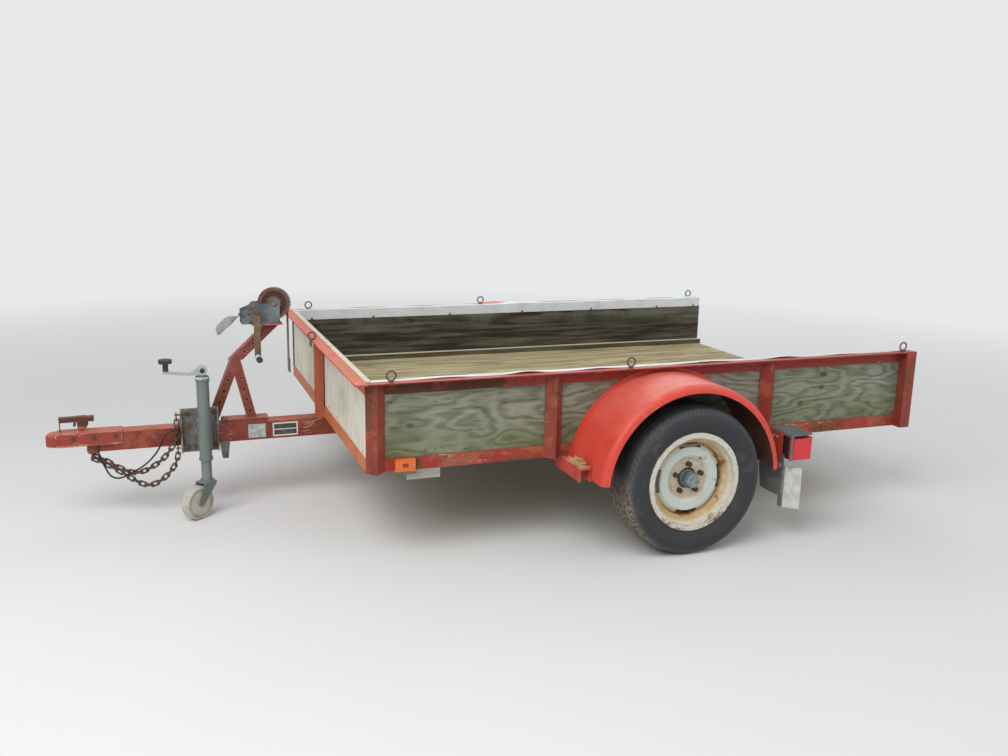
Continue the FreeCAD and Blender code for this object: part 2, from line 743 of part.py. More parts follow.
# Trims over the walls' top edges
trim_t = size("trim_t")
trim_end = wall - leg_t - ply_t
side_trim = prism(
    "SideTrim",
    "YZ_Plane",
    [
        (panel_in - trim_t, high - size("trim_drop")),
        (panel_in, high - size("trim_drop")),
        (panel_in, high),
        (half + size("trim_over"), high),
        (half + size("trim_over"), high + trim_t),
        (panel_in - trim_t, high + trim_t),
    ],
    rear + leg_t,
    trim_end,
)
node("side_trims", both_sides("SideTrims", [side_trim]))
strip_half = half + size("strip_over")
front_trim = block("FrontTrim", (trim_end, wall), (-strip_half, strip_half), (high, high + size("strip_t")))
node("front_trim", front_trim)

# Tie-down eyes on the side rails, and the ring on the front rail
eye_r = size("eye_r")
eye_wire_r = size("eye_wire_r")
eye_high = high + size("washer_t") + eye_r + eye_wire_r
eyes = []
for index, x in enumerate(eye_places):
    loop = ring(f"EyeLoop{index}", "y", (x, eye_y, eye_high), eye_r, eye_wire_r)
    shank_low = high - leg_t - size("nut_t")
    shank = rod(f"EyeShank{index}", "z", (x, eye_y, shank_low), size("bolt_r"), eye_high - eye_r - shank_low)
    washer = rod(f"EyeWasher{index}", "z", (x, eye_y, high), size("washer_r"), size("washer_t"))
    nut = rod(f"EyeNut{index}", "z", (x, eye_y, shank_low), size("nut_r"), size("nut_t"))
    eyes.append(join(f"Eye{index}", [loop, shank, washer, nut]))
node("eye_bolts", both_sides("EyeBolts", eyes))

rail_front = wall - leg_t + leg
tab_t = size("tab_t")
tab_half = size("tab_w") / 2
ring_wire_r = size("ring_wire_r")
ring_high = high + ring_wire_r * 2
rail_tab = block("RingTab", (rail_front, rail_front + tab_t), (-tab_half, tab_half), (high - size("tab_drop"), ring_high))
rail_foot = block("RingFoot", (rail_front - ring_wire_r * 3, rail_front), (-ring_wire_r, ring_wire_r), (high, ring_high))
rail_loop = ring("RingLoop", "y", (rail_front - ring_wire_r, 0, high + ring_wire_r + size("ring_r")), size("ring_r"), ring_wire_r)
tab_bore = rod("RingTabHole", "x", (rail_front - leg_t, 0, high - size("tab_drop") / 2), size("tab_hole_r"), leg)
rail_piece = join("RailRingSolid", [carve("RingTabBored", rail_tab, tab_bore), rail_foot, rail_loop])
node("rail_ring", rail_piece)

# Side lamps and the wood blocks under the front corners
marker_front = wall - size("marker_front_in")
marker_low = low + size("marker_up")
marker = block(
    "Marker",
    (marker_front - size("marker_l"), marker_front),
    (skin, skin + size("marker_t")),
    (marker_low, marker_low + size("marker_h")),
)
node("marker_lamps", both_sides("MarkerLamps", [marker]))
block_front = wall - size("block_front_in")
wood = block(
    "WoodBlock",
    (block_front - size("block_l"), block_front),
    (skin - leg_t / 2 - size("block_w"), skin - leg_t / 2),
    (low - size("block_h"), low),
)
node("wood_blocks", both_sides("WoodBlocks", [wood]))

# Axle: a square beam with a round spindle at each end
wheel_r = size("wheel_r")
wheel_y = half + size("wheel_out")
axle_half = size("axle_side") / 2
beam_end = wheel_y - size("hub_in") - size("axle_gap")
spindle_end = wheel_y + size("spindle_out")
beam = block("AxleBar", (axle - axle_half, axle + axle_half), (-beam_end, beam_end), (wheel_r - axle_half, wheel_r + axle_half))
spindle = rod("Spindles", "y", (axle, -spindle_end, wheel_r), size("spindle_r"), spindle_end * 2)
node("axle_beam", join("AxleBeam", [beam, spindle]))

# Leaf springs on the axle, their hangers under the frame and their clamps
spring_y = half - size("spring_in")
spring_in = spring_y - size("spring_w") / 2
spring_out = spring_y + size("spring_w") / 2
leaf_t = size("leaf_t")
spring_round = size("spring_round")
spring_low = wheel_r + axle_half
spring_centre = spring_low + spring_round


def leaf_height(radius, reach):
    return spring_centre - root(radius * radius - reach * reach)


leaf_corners = []
leaf_long = fender_r - size("spring_end_in")
leaf_reaches = [leaf_long - size("leaf_short_in"), leaf_long - size("leaf_middle_in"), leaf_long]
for index, reach in enumerate(leaf_reaches):
    under = spring_round - leaf_t * index
    over = under - leaf_t
    leaf_corners.append((axle + reach, leaf_height(under, reach)))
    leaf_corners.append((axle + reach, leaf_height(over, reach), over if index < 2 else -over))
for index in (2, 1, 0):
    reach = leaf_reaches[index]
    under = spring_round - leaf_t * index
    over = under - leaf_t
    leaf_corners.append((axle - reach, leaf_height(over, reach)))
    leaf_corners.append((axle - reach, leaf_height(under, reach), under))
leaves = prism("Leaves", "XZ_Plane", leaf_corners, spring_in, spring_out)
spring_eye_z = leaf_height(spring_round - leaf_t * 3, leaf_long) + size("eye_rise")
eye_bosses = []
eye_bores = []
hangers = []
pin_r = size("pin_r")
hanger_half = size("hanger_w") / 2
hanger_t = size("hanger_t")
for index, x in enumerate((axle + leaf_long, axle - leaf_long)):
    eye_bosses.append(rod(f"SpringEye{index}", "y", (x, spring_in, spring_eye_z), size("spring_eye_r"), size("spring_w")))
    eye_bores.append(rod(f"SpringBore{index}", "y", (x, spring_in, spring_eye_z), pin_r + size("pin_clear"), size("spring_w")))
    hanger_out = spring_out + size("hanger_clear")
    hanger_in = spring_in - size("hanger_clear")
    hanger_low = spring_eye_z - size("spring_eye_r")
    x_range = (x - hanger_half, x + hanger_half)
    outer = block(f"HangerOuter{index}", x_range, (hanger_out, hanger_out + hanger_t), (hanger_low, low))
    inner = block(f"HangerInner{index}", x_range, (hanger_in - hanger_t, hanger_in), (hanger_low, low))
    pin = rod(f"HangerPin{index}", "y", (x, hanger_in - hanger_t, spring_eye_z), pin_r, hanger_out - hanger_in + hanger_t * 2)
    hangers.append(join(f"Hanger{index}", [outer, inner, pin]))
spring = carve("Spring", join("SpringBody", [leaves] + eye_bosses), group("SpringBores", eye_bores))
node("leaf_springs", both_sides("LeafSprings", [spring]))
node("spring_hangers", both_sides("SpringHangers", hangers))

clamp_r = size("clamp_r")
clamp_t = size("clamp_t")
clamp_clear = size("clamp_clear")
clamp_in = spring_in - clamp_clear - clamp_r
clamp_out = spring_out + clamp_clear + clamp_r
clamp_top = spring_low + leaf_t * 3 + clamp_clear
clamp_base = wheel_r - axle_half - clamp_clear
clamp_x = (axle - size("clamp_half"), axle + size("clamp_half"))
clamp_y = (clamp_in - clamp_r * 2, clamp_out + clamp_r * 2)
clamp_parts = [
    block("ClampTop", clamp_x, clamp_y, (clamp_top, clamp_top + clamp_t)),
    block("ClampBase", clamp_x, clamp_y, (clamp_base - clamp_t, clamp_base)),
]
for index, (along, across) in enumerate(((1, 0), (1, 1), (-1, 0), (-1, 1))):
    place_y = clamp_out if across else clamp_in
    foot = clamp_base - clamp_t * 2
    start = (axle + size("clamp_out") * along, place_y, foot)
    clamp_parts.append(rod(f"ClampBolt{index}", "z", start, clamp_r, clamp_top + clamp_t * 2 - foot))
node("spring_clamps", both_sides("SpringClamps", [join("SpringClamp", clamp_parts)]))

# Fenders: a bent sheet with a rolled outer edge and a flange against the frame, cut level at both ends
fender_t = size("fender_t")
fender_end = skin + size("fender_w")
lip = size("fender_lip_r")
lip_drop = size("fender_lip_drop")
fender_section = [
    (fender_r + size("fender_flange"), skin),
    (fender_r + size("fender_flange"), skin + fender_t),
    (fender_r, skin + fender_t),
    (fender_r, fender_end - lip, lip),
    (fender_r - lip, fender_end),
    (fender_r - lip - lip_drop, fender_end),
    (fender_r - lip - lip_drop, fender_end - fender_t),
    (fender_r - lip, fender_end - fender_t, fender_t - lip),
    (fender_r - fender_t, fender_end - lip),
    (fender_r - fender_t, skin),
]
fender_rise = size("fender_up") - wheel_r
fender_reach = root(fender_r * fender_r - fender_rise * fender_rise)
arm_clear = size("arm_clear")
fender_turn = turned("FenderTurn", fender_section, "y", (fender_x, 0, wheel_r), 180)
fender_y = (half, fender_end + lip)
fender_cuts = [
    block("FenderCut", (fender_x - fender_r * 2, fender_x + fender_r * 2), fender_y, (wheel_r - leg, size("fender_up"))),
    block("FenderCutFront", (fender_x + fender_reach, fender_x + fender_r * 2), fender_y, (wheel_r, low + arm_clear)),
    block("FenderCutRear", (fender_x - fender_r * 2, fender_x - fender_reach), fender_y, (wheel_r, low + arm_clear)),
]
node("fenders", both_sides("Fenders", [carve("Fender", fender_turn, group("FenderCuts", fender_cuts))]))

# Channels under the frame that carry the fenders' ends
arm_face = fender_reach + arm_clear
arm_w = size("arm_w")
arm_t = size("arm_t")
arm_low = low - size("arm_h")
arm_out = half + size("arm_out")
arms = []
for name, start in (("ArmFront", fender_x + arm_face), ("ArmRear", fender_x - arm_face - arm_w)):
    corners = [
        (start, arm_low),
        (start + arm_t, arm_low),
        (start + arm_t, low - arm_t),
        (start + arm_w - arm_t, low - arm_t),
        (start + arm_w - arm_t, arm_low),
        (start + arm_w, arm_low),
        (start + arm_w, low),
        (start, low),
    ]
    arms.append(prism(name, "XZ_Plane", corners, half - size("arm_in"), arm_out))
node("fender_arms", both_sides("FenderArms", arms))

# Tail lamps on perforated plates behind the rear channels, and the mud flaps
plate_x = fender_x - arm_face - arm_w
plate_back = plate_x - size("bracket_t")
bracket = block(
    "Bracket",
    (plate_back, plate_x),
    (half + size("bracket_in"), half + size("bracket_out")),
    (size("bracket_low"), size("bracket_high")),
)
bracket_holes = []
for index in range(4):
    across = half + size("bracket_out") - size("bracket_pitch") * (index + 0.5)
    up = size("bracket_high") - size("bracket_pitch")
    bracket_holes.append(rod(f"BracketHole{index}", "x", (plate_back - leg, across, up), size("bracket_hole_r"), leg * 2))
node("lamp_brackets", both_sides("LampBrackets", [carve("BracketBored", bracket, group("BracketHoles", bracket_holes))]))

hood_in = half + size("hood_in")
hood_out = half + size("hood_out")
hood_top = size("hood_top")
hood_t = size("hood_t")
hood_band = size("hood_band")
hood_top_plate = block("HoodTop", (plate_back - size("hood_l"), plate_back), (hood_in, hood_out), (hood_top - hood_t, hood_top))
hood_front = block("HoodFront", (plate_back - hood_band / 2, plate_back), (hood_in, hood_out), (hood_top - hood_t * 2, hood_top))
hood_side = block(
    "HoodSide",
    (plate_back - hood_band, plate_back),
    (hood_out - hood_t / 2, hood_out),
    (size("hood_foot"), hood_top),
)
node("lamp_hoods", both_sides("LampHoods", [join("Hood", [hood_top_plate, hood_front, hood_side])]))

lamp_front = plate_back - size("lamp_gap")
lamp_back = lamp_front - size("lamp_l")
lamp_in = half + size("lamp_in")
lamp_out = half + size("lamp_out")
lens_t = size("lens_t")
lens_bevel = size("lens_bevel")
lamp = block("LampBody", (lamp_back, lamp_front), (lamp_in, lamp_out), (size("lens_low"), hood_top - hood_t))
node("tail_lamps", both_sides("TailLamps", [lamp]))
lens_corners = [
    (lamp_back, lamp_in),
    (lamp_back, lamp_out),
    (lamp_front, lamp_out),
    (lamp_front, lamp_out + lens_t - lens_bevel),
    (lamp_front - lens_bevel, lamp_out + lens_t),
    (lamp_back - lens_t + lens_bevel, lamp_out + lens_t),
    (lamp_back - lens_t, lamp_out + lens_t - lens_bevel),
    (lamp_back - lens_t, lamp_in),
]
lens = prism("Lens", "XY_Plane", lens_corners, size("lens_low"), size("lens_high"))
node("lamp_lenses", both_sides("LampLenses", [lens]))

flap_in = half + size("flap_in")
flap_out = half + size("flap_out")
flap_t = size("flap_t")
flap_back = plate_back - flap_t
flap_corners = [
    (flap_in, size("flap_high")),
    (flap_in + size("flap_slant"), size("flap_low")),
    (flap_out, size("flap_low")),
    (flap_out, size("flap_high")),
]
flap = prism("Flap", "YZ_Plane", flap_corners, flap_back, plate_back)
strap_in = half + size("strap_in")
strap_out = half + size("strap_out")
strap_back = flap_back - size("strap_back")
strap_corners = [
    (flap_back, strap_in),
    (flap_back, flap_out),
    (strap_back + flap_t, strap_out),
    (strap_back, strap_out - flap_t),
    (flap_back - flap_t, flap_out - flap_t),
    (flap_back - flap_t, strap_in),
]
strip = prism("FlapStrip", "XY_Plane", strap_corners, size("strap_low"), size("strap_high"))
node("mud_flaps", both_sides("MudFlaps", [flap, strip]))

# Tongue, blank plates on its left face
tongue_half = size("tongue_w") / 2
tongue_t = size("tongue_t")
tongue_low = low - size("tongue_h")
tongue_front = tip - size("tongue_short")
tongue_x = (tongue_rear, tongue_front)
tongue_bar = block("TongueBar", tongue_x, (-tongue_half, tongue_half), (tongue_low, low))
tongue_hollow = block("TongueHollow", tongue_x, (tongue_t - tongue_half, tongue_half - tongue_t), (tongue_low + tongue_t, low - tongue_t))
node("tongue_tube", carve("TongueTube", tongue_bar, tongue_hollow))
plates = []
for name, start, length in (
    ("PlatePale", wall + size("plate_pale_in"), size("plate_pale_l")),
    ("PlateDark", wall + size("plate_dark_in"), size("plate_dark_l")),
):
    plate_high = low - size("plate_drop")
    plates.append(
        block(name, (start, start + length), (tongue_half, tongue_half + size("plate_t")), (plate_high - size("plate_h"), plate_high))
    )
node("tongue_plates", group("TonguePlates", plates))

# Coupler: a folded channel over the tongue's end with a round nose over the ball
coupler_t = size("coupler_t")
coupler_half = tongue_half + coupler_t
coupler_rear = tip - size("coupler_l")
coupler_low = low - size("coupler_drop")
coupler_top = low + coupler_t
nose_r = size("nose_r")
nose_x = tip - nose_r
flange_out = coupler_half + size("coupler_flange")
coupler_section = [
    (-flange_out, coupler_low),
    (-tongue_half, coupler_low),
    (-tongue_half, low),
    (tongue_half, low),
    (tongue_half, coupler_low),
    (flange_out, coupler_low),
    (flange_out, coupler_low + coupler_t),
    (coupler_half, coupler_low + coupler_t),
    (coupler_half, coupler_top),
    (-coupler_half, coupler_top),
    (-coupler_half, coupler_low + coupler_t),
    (-flange_out, coupler_low + coupler_t),
]
coupler_channel = prism("CouplerChannel", "YZ_Plane", coupler_section, coupler_rear, nose_x)
socket_r = size("ball_r") + size("ball_clear")
socket_z = low - size("socket_top") - coupler_low
nose_h = coupler_top - coupler_low
nose_round = size("nose_round")
nose_corners = [
    (0, socket_z + socket_r, -socket_r),
    (socket_r, socket_z),
    (socket_r, 0),
    (nose_r, 0),
    (nose_r, nose_h - nose_round, nose_round),
    (nose_r - nose_round, nose_h),
    (0, nose_h),
]
coupler_nose = turned("CouplerNose", nose_corners, "z", (nose_x, 0, coupler_low))
ear_t = size("ear_t")
latch_half = size("latch_w") / 2
ear_in = latch_half + size("ear_clear")
ear_x = (tip - size("ear_back") - size("ear_l"), tip - size("ear_back"))
latch_low = coupler_top + size("latch_low")
latch_high = latch_low + size("latch_h")
ears = []
for index, side in enumerate((ear_in, -ear_in - ear_t)):
    ears.append(block(f"Ear{index}", ear_x, (side, side + ear_t), (low, latch_high)))
node("coupler_body", join("CouplerBody", [coupler_channel, coupler_nose] + ears))

# Latch: a channel lever between the ears on a pin, with a hook tab down to the coupler at its front
lever_x = (tip - size("latch_rear"), tip - size("latch_front"))
lever = block("Lever", lever_x, (-latch_half, latch_half), (latch_low, latch_high))
lever_hollow = block(
    "LeverHollow",
    lever_x,
    (size("latch_t") - latch_half, latch_half - size("latch_t")),
    (latch_low, latch_high - size("latch_t")),
)
hook = block(
    "Hook",
    (lever_x[1] - size("latch_t"), lever_x[1]),
    (-size("hook_w") / 2, size("hook_w") / 2),
    (coupler_top, latch_high),
)
node("coupler_latch", join("CouplerLatch", [carve("LeverChannel", lever, lever_hollow), hook]))

# Bracket with two eyes under the tongue for the safety chains
chain_x = tip - size("chain_back")
chain_top = tongue_low - size("chain_plate")
chain_half = size("chain_plate_l") / 2
chain_plate = block("ChainPlate", (chain_x - chain_half, chain_x + chain_half), (-tongue_half, tongue_half), (chain_top, tongue_low))
chain_parts = [chain_plate]
for index, side in enumerate((1, -1)):
    centre = (chain_x, size("chain_eye_out") * side, chain_top - size("chain_eye_r"))
    chain_parts.append(ring(f"ChainEye{index}", "x", centre, size("chain_eye_r"), size("chain_wire_r")))
node("chain_bracket", join("ChainBracket", chain_parts))

# Winch stand: a bent leg and a brace of perforated tube on the tongue
stand_half = size("stand_w") / 2
stand_side = size("stand_side")
stand_t = size("stand_t")
foot = (wall + size("stand_foot"), low)
knee = (wall + size("stand_knee"), low + size("stand_knee_up"))
head = (wall + size("stand_head"), low + size("stand_head_up"))
brace = (wall + size("brace_foot"), low)
base_x = brace[0] - size("base_rear")
base_half = size("base_half")


def strut(name, start, end, inset):
    """A straight member between two level cuts."""
    dx = end[0] - start[0]
    dz = end[1] - start[1]
    reach = root(dx * dx + dz * dz)
    level = (stand_side / 2 - inset) * reach / dz
    corners = [
        (start[0] - level, start[1]),
        (start[0] + level, start[1]),
        (end[0] + level, end[1]),
        (end[0] - level, end[1]),
    ]
    return prism(name, "XZ_Plane", corners, inset - stand_half, stand_half - inset)


stand_solid = join(
    "StandSolid",
    [
        strut("StandLeg", foot, knee, as_size(0)),
        strut("StandArm", knee, head, as_size(0)),
        strut("StandBrace", brace, knee, as_size(0)),
        block("StandBase", (base_x, base_x + size("base_l")), (-base_half, base_half), (low, low + size("base_h"))),
    ],
)
stand_hollows = [
    strut("LegHollow", foot, knee, stand_t),
    strut("ArmHollow", knee, head, stand_t),
    strut("BraceHollow", brace, knee, stand_t),
]
stand_holes = []
for name, start, end in (("LegHole", foot, knee), ("ArmHole", knee, head), ("BraceHole", brace, knee)):
    dx = end[0] - start[0]
    dz = end[1] - start[1]
    reach = root(dx * dx + dz * dz)
    for index in range(1, int(reach.number / size("stand_hole_pitch").number)):
        along = size("stand_hole_pitch") * index / reach
        centre = (start[0] + dx * along, -stand_half * 2, start[1] + dz * along)
        stand_holes.append(rod(f"{name}{index}", "y", centre, size("stand_hole_r"), stand_half * 4))
node("winch_stand", carve("WinchStand", stand_solid, group("StandCuts", stand_hollows + stand_holes)))

# Winch frame: seat, side plates with a lobe around the drum shaft, and bores for both shafts
seat_low = head[1]
seat_high = seat_low + size("seat_t")
seat_half = size("seat_w") / 2
seat_x = wall + size("seat_rear")
seat = block("WinchSeat", (seat_x, seat_x + size("seat_l")), (-seat_half, seat_half), (seat_low, seat_high))
winch_half = size("winch_half")
winch_t = size("winch_t")
winch_x = wall + size("winch_rear")
winch_tall = winch_x + size("winch_body_l")
winch_end = winch_x + size("winch_l")
drum = (wall + size("drum_ahead"), seat_high + size("drum_up"))
pinion = (wall + size("pinion_ahead"), seat_high + size("pinion_up"))
side_corners = [
    (winch_x, seat_high),
    (winch_end, seat_high),
    (winch_end, seat_high + size("winch_nose_h")),
    (winch_tall + winch_t * 4, seat_high + size("winch_h") - winch_t * 4),
    (winch_tall, seat_high + size("winch_h")),
    (winch_x, seat_high + size("winch_h")),
]
frame_parts = [seat]
frame_parts.append(block("WinchWeb", (winch_x, winch_end), (-winch_half, winch_half), (seat_high, seat_high + winch_t)))
bores = []
for name, start in (("Left", winch_half - winch_t), ("Right", -winch_half)):
    frame_parts.append(prism(f"WinchSide{name}", "XZ_Plane", side_corners, start, start + winch_t))
    frame_parts.append(rod(f"WinchLobe{name}", "y", (drum[0], start, drum[1]), size("drum_lobe_r"), winch_t))
guide_r = size("guide_r")
guide_x = winch_end - size("guide_in")
guide_z = seat_high + size("guide_up")
frame_parts.append(rod("WinchGuide", "y", (guide_x, -winch_half, guide_z), guide_r, winch_half * 2))
for name, axis, radius in (("DrumBore", drum, size("drum_shaft_r")), ("CrankBore", pinion, size("crank_shaft_r"))):
    bores.append(rod(name, "y", (axis[0], -winch_half * 2, axis[1]), radius + size("shaft_clear"), winch_half * 4))
node("winch_frame", carve("WinchFrame", join("WinchFrameSolid", frame_parts), group("WinchBores", bores)))

# Drum with its shaft, wound strap and gear; crank with its pinion, arm and grip
shaft_end = winch_half + size("shaft_over")
gear_in = size("gear_in")
gear_out = gear_in + size("gear_w")
drum_corners = [
    (0, -shaft_end),
    (size("drum_shaft_r"), -shaft_end),
    (size("drum_shaft_r"), -size("roll_in")),
    (size("roll_r"), -size("roll_in")),
    (size("roll_r"), size("roll_out")),
    (size("drum_lobe_r"), size("roll_out")),
    (size("drum_lobe_r"), gear_in),
    (size("gear_r"), gear_in),
    (size("gear_r"), gear_out),
    (size("drum_shaft_r"), gear_out),
    (size("drum_shaft_r"), shaft_end),
    (0, shaft_end),
]
node("winch_drum", turned("WinchDrum", drum_corners, "y", (drum[0], 0, drum[1])))
crank_out = size("crank_out")
crank_end = crank_out + size("crank_t")
crank_corners = [
    (0, -shaft_end),
    (size("crank_shaft_r"), -shaft_end),
    (size("crank_shaft_r"), gear_in),
    (size("pinion_r"), gear_in),
    (size("pinion_r"), gear_out),
    (size("crank_shaft_r"), gear_out),
    (size("crank_shaft_r"), crank_out),
    (0, crank_out),
]
crank_shaft = turned("CrankShaft", crank_corners, "y", (pinion[0], 0, pinion[1]))
crank_half = size("crank_w") / 2
grip_z = pinion[1] - size("crank_reach")
arm_bar = block("CrankBar", (pinion[0] - crank_half, pinion[0] + crank_half), (crank_out, crank_end), (grip_z, pinion[1]))
arm_top = rod("CrankTop", "y", (pinion[0], crank_out, pinion[1]), crank_half, size("crank_t"))
arm_foot = rod("CrankFoot", "y", (pinion[0], crank_out, grip_z), crank_half, size("crank_t"))
node("winch_crank", join("WinchCrank", [crank_shaft, arm_bar, arm_top, arm_foot]))
grip_start = (pinion[0], crank_end, grip_z)
node("winch_grip", rod("WinchGrip", "y", grip_start, size("grip_r"), size("grip_l")))

# Loose ends of webbing: a pale one that droops from the winch's nose, and one that hangs from the wound strap
strap_t = size("strap_t")
strap_start = (guide_x + guide_r + size("strap_gap"), guide_z)
strap_end = (strap_start[0] + size("strap_run"), strap_start[1] - size("strap_drop"))
strap_chord = math.hypot(size("strap_run").number, size("strap_drop").number)
strap_slope = math.degrees(math.atan2(size("strap_drop").number, size("strap_run").number))
strap_bend = strap_slope - size("strap_lean").number
strap_round = as_size(strap_chord / 2 / math.sin(math.radians(strap_bend)))
strap_normals = [math.radians(strap_slope - strap_bend), math.radians(strap_slope + strap_bend)]
strap_under = [
    (point[0] - strap_t * math.sin(angle), point[1] - strap_t * math.cos(angle))
    for point, angle in zip((strap_start, strap_end), strap_normals)
]
strap_corners = [
    (*strap_start, -strap_round),
    strap_end,
    (*strap_under[1], strap_round - strap_t),
    strap_under[0],
]
strap_wide = size("strap_end_w") / 2
strap_band = prism("StrapBand", "XZ_Plane", strap_corners, -strap_wide, strap_wide)
strap_plan = [
    (guide_x, -size("strap_top_w") / 2),
    (strap_end[0], -strap_wide),
    (strap_end[0], strap_wide),
    (guide_x, size("strap_top_w") / 2),
]
strap_taper = prism("StrapTaper", "XY_Plane", strap_plan, strap_end[1] - strap_t * 2, guide_z + strap_t)
node("winch_strap", both("WinchStrap", strap_band, strap_taper))
tail_x = drum[0] - size("roll_r") - size("tail_gap")
tail_low = size("tail_low")
tail_middle = (size("roll_out") - size("roll_in")) / 2
tail_y = (tail_middle - size("tail_w") / 2, tail_middle + size("tail_w") / 2)
tail_band = block("TailBand", (tail_x - strap_t, tail_x), tail_y, (tail_low, drum[1]))
tail_fold = block("TailFold", (tail_x - strap_t * 2, tail_x), tail_y, (tail_low, tail_low + size("tail_fold")))
node("winch_tail", join("WinchTail", [tail_band, tail_fold]))

# Jack mount: a flanged plate clamped to the tongue's left side, its pivot boss and pin, and the tab below
jack_x = wall + size("jack_ahead")
jack_y = size("jack_out")
mount_t = size("mount_t")
mount_out = tongue_half + mount_t
mount_x = (jack_x - size("mount_rear"), jack_x + size("mount_front"))
mount_z = (size("mount_low"), size("mount_high"))
pivot_z = size("pivot_up")
boss_end = mount_out + size("boss_l")

# Safety chains: links along two curves from the bracket's eyes to pegs on the mount's front.
# Each row is the eye's side, then the curve's points: ahead of the mount's front, out from the middle, below the frame.
CHAINS = (
    (1, ((282, 24, 147), (223, 30, 189), (177, 36, 222), (139, 40, 238), (102, 44, 230), (63, 48, 201), (30, 53, 158), (17, 57, 122), (14, 58, 96), (14, 58, 70))),
    (-1, ((282, -8, 143), (223, 4, 178), (177, 20, 186), (122, 36, 164), (74, 46, 127), (42, 50, 87), (22, 50.5, 50), (14, 50.5, 12), (14, 50.5, -25), (14, 50.5, -62))),
)
link_l = size("link_l")
link_wire = size("link_wire")
link_side = size("link_w") / 2 + link_wire
link = carve(
    "Link",
    block("LinkOuter", (-link_l / 2 - link_wire, link_l / 2 + link_wire), (-link_wire / 2, link_wire / 2), (-link_side, link_side)),
    block("LinkHole", (-link_l / 2, link_l / 2), (-link_wire, link_wire), (link_wire - link_side, link_side - link_wire)),
)
link_inner = link_l.number / 2
link_gap = size("link_gap").number
wire_half = link_wire.number / 2


def link_pitch(bend):
    """From one link's middle to the next, so that their ends keep the play at this bend."""
    reach = link_inner * (1 + math.cos(bend)) - link_gap - wire_half * math.sin(bend)
    return reach / math.cos(bend / 2)


def next_along(curve, start, reach):
    """The parameter past start whose point lies reach away from start's point."""
    origin = curve.value(start)
    low_end, high_end = start, curve.LastParameter
    if curve.value(high_end).distanceToPoint(origin) < reach:
        return None
    for _ in range(40):
        middle = (low_end + high_end) / 2
        if curve.value(middle).distanceToPoint(origin) < reach:
            low_end = middle
        else:
            high_end = middle
    return high_end


links = []
pegs = []
peg_r = size("peg_r")
for chain, (eye_side, route) in enumerate(CHAINS):
    eye = FreeCAD.Vector(chain_x.number, eye_side * size("chain_eye_out").number, (chain_top - size("chain_eye_r") * 2).number)
    curve = Part.BSplineCurve()
    curve.interpolate([eye] + [FreeCAD.Vector(mount_x[1].number + ahead, out, low.number - down) for ahead, out, down in route])
    spot = next_along(curve, curve.FirstParameter, link_inner - size("chain_wire_r").number - link_gap * 3)
    middles = [spot]
    while spot is not None:
        middles.append(spot)
        along = curve.tangent(spot)[0]
        follow = next_along(curve, spot, link_pitch(0))
        if follow is not None:
            follow = next_along(curve, spot, link_pitch(along.getAngle(curve.tangent(follow)[0])))
        spot = follow
    middles = middles[1:]
    if len(middles) % 2:
        middles.pop()
    for index, spot in enumerate(middles):
        along = curve.tangent(spot)[0]
        flat = along.cross(FreeCAD.Vector(0, 1, 0)).normalize()
        across = flat.cross(along)
        if index % 2:
            across, flat = flat, -across
        item = group(f"Chain{chain}Link{index}", [link])
        item.Placement = FreeCAD.Placement(curve.value(spot), FreeCAD.Rotation(along, across, flat, "XYZ"))
        links.append(item)
    last = curve.value(middles[-1])
    hold = last + curve.tangent(middles[-1])[0] * (link_inner - peg_r.number - link_gap * 2)
    pegs.append(rod(f"ChainPeg{chain}", "x", (mount_x[1], hold.y, hold.z), peg_r, last.x + size("peg_over") + wire_half - mount_x[1]))
    print("chain", chain, "links", len(middles), "ends at", [round(value) for value in last])
node("safety_chains", group("SafetyChains", links))

# Wiring cord: a tube from the mount's front face to the underside of the coupler's flange, along points (x, y, z)
CORD = (
    (1262.5, 66.5, 364),
    (1297, 66.5, 364),
    (1326, 65, 340),
    (1346, 64, 294),
    (1378, 62, 248),
    (1420, 60, 212),
    (1466, 58, 190),
    (1508, 55, 168),
    (1545, 52, 180),
    (1562, 49, 222),
    (1584, 46, 268),
    (1584, 46, 317),
)
cord_r = size("cord_r").number
cord_points = [FreeCAD.Vector(*point) for point in CORD]


def rounded(points):
    """Straight runs joined by tangent arcs, as large as the runs allow, and the arcs' radii."""
    edges = []
    radii = []
    last = points[0]
    for before, corner, after in zip(points, points[1:], points[2:]):
        into = corner - before
        out = after - corner
        back = min(into.Length, out.Length) * 0.45
        into.normalize()
        out.normalize()
        turn = into.getAngle(out)
        radius = back / math.tan(turn / 2)
        bisector = (out - into).normalize()
        start = corner - into * back
        end = corner + out * back
        edges.append(Part.LineSegment(last, start).toShape())
        edges.append(Part.Arc(start, corner + bisector * (radius / math.cos(turn / 2) - radius), end).toShape())
        radii.append(radius)
        last = end
    edges.append(Part.LineSegment(last, points[-1]).toShape())
    return Part.Wire(edges), radii


cord_path, cord_radii = rounded(cord_points)
cord_face = Part.Wire(Part.Circle(cord_points[0], cord_points[1] - cord_points[0], cord_r).toShape())
cord = doc.addObject("Part::Feature", "WiringCord")
cord.Shape = cord_path.makePipeShell([cord_face], True, True)
node("wiring_cord", cord)
print("cord radii", [round(radius) for radius in cord_radii], "runs", [round((b - a).Length) for a, b in zip(cord_points, cord_points[1:])])
cord_volume = math.pi * cord_r * cord_r * cord_path.Length
print("cord length", round(cord_path.Length, 1), "volume to section x length", round(cord.Shape.Volume / cord_volume, 4))

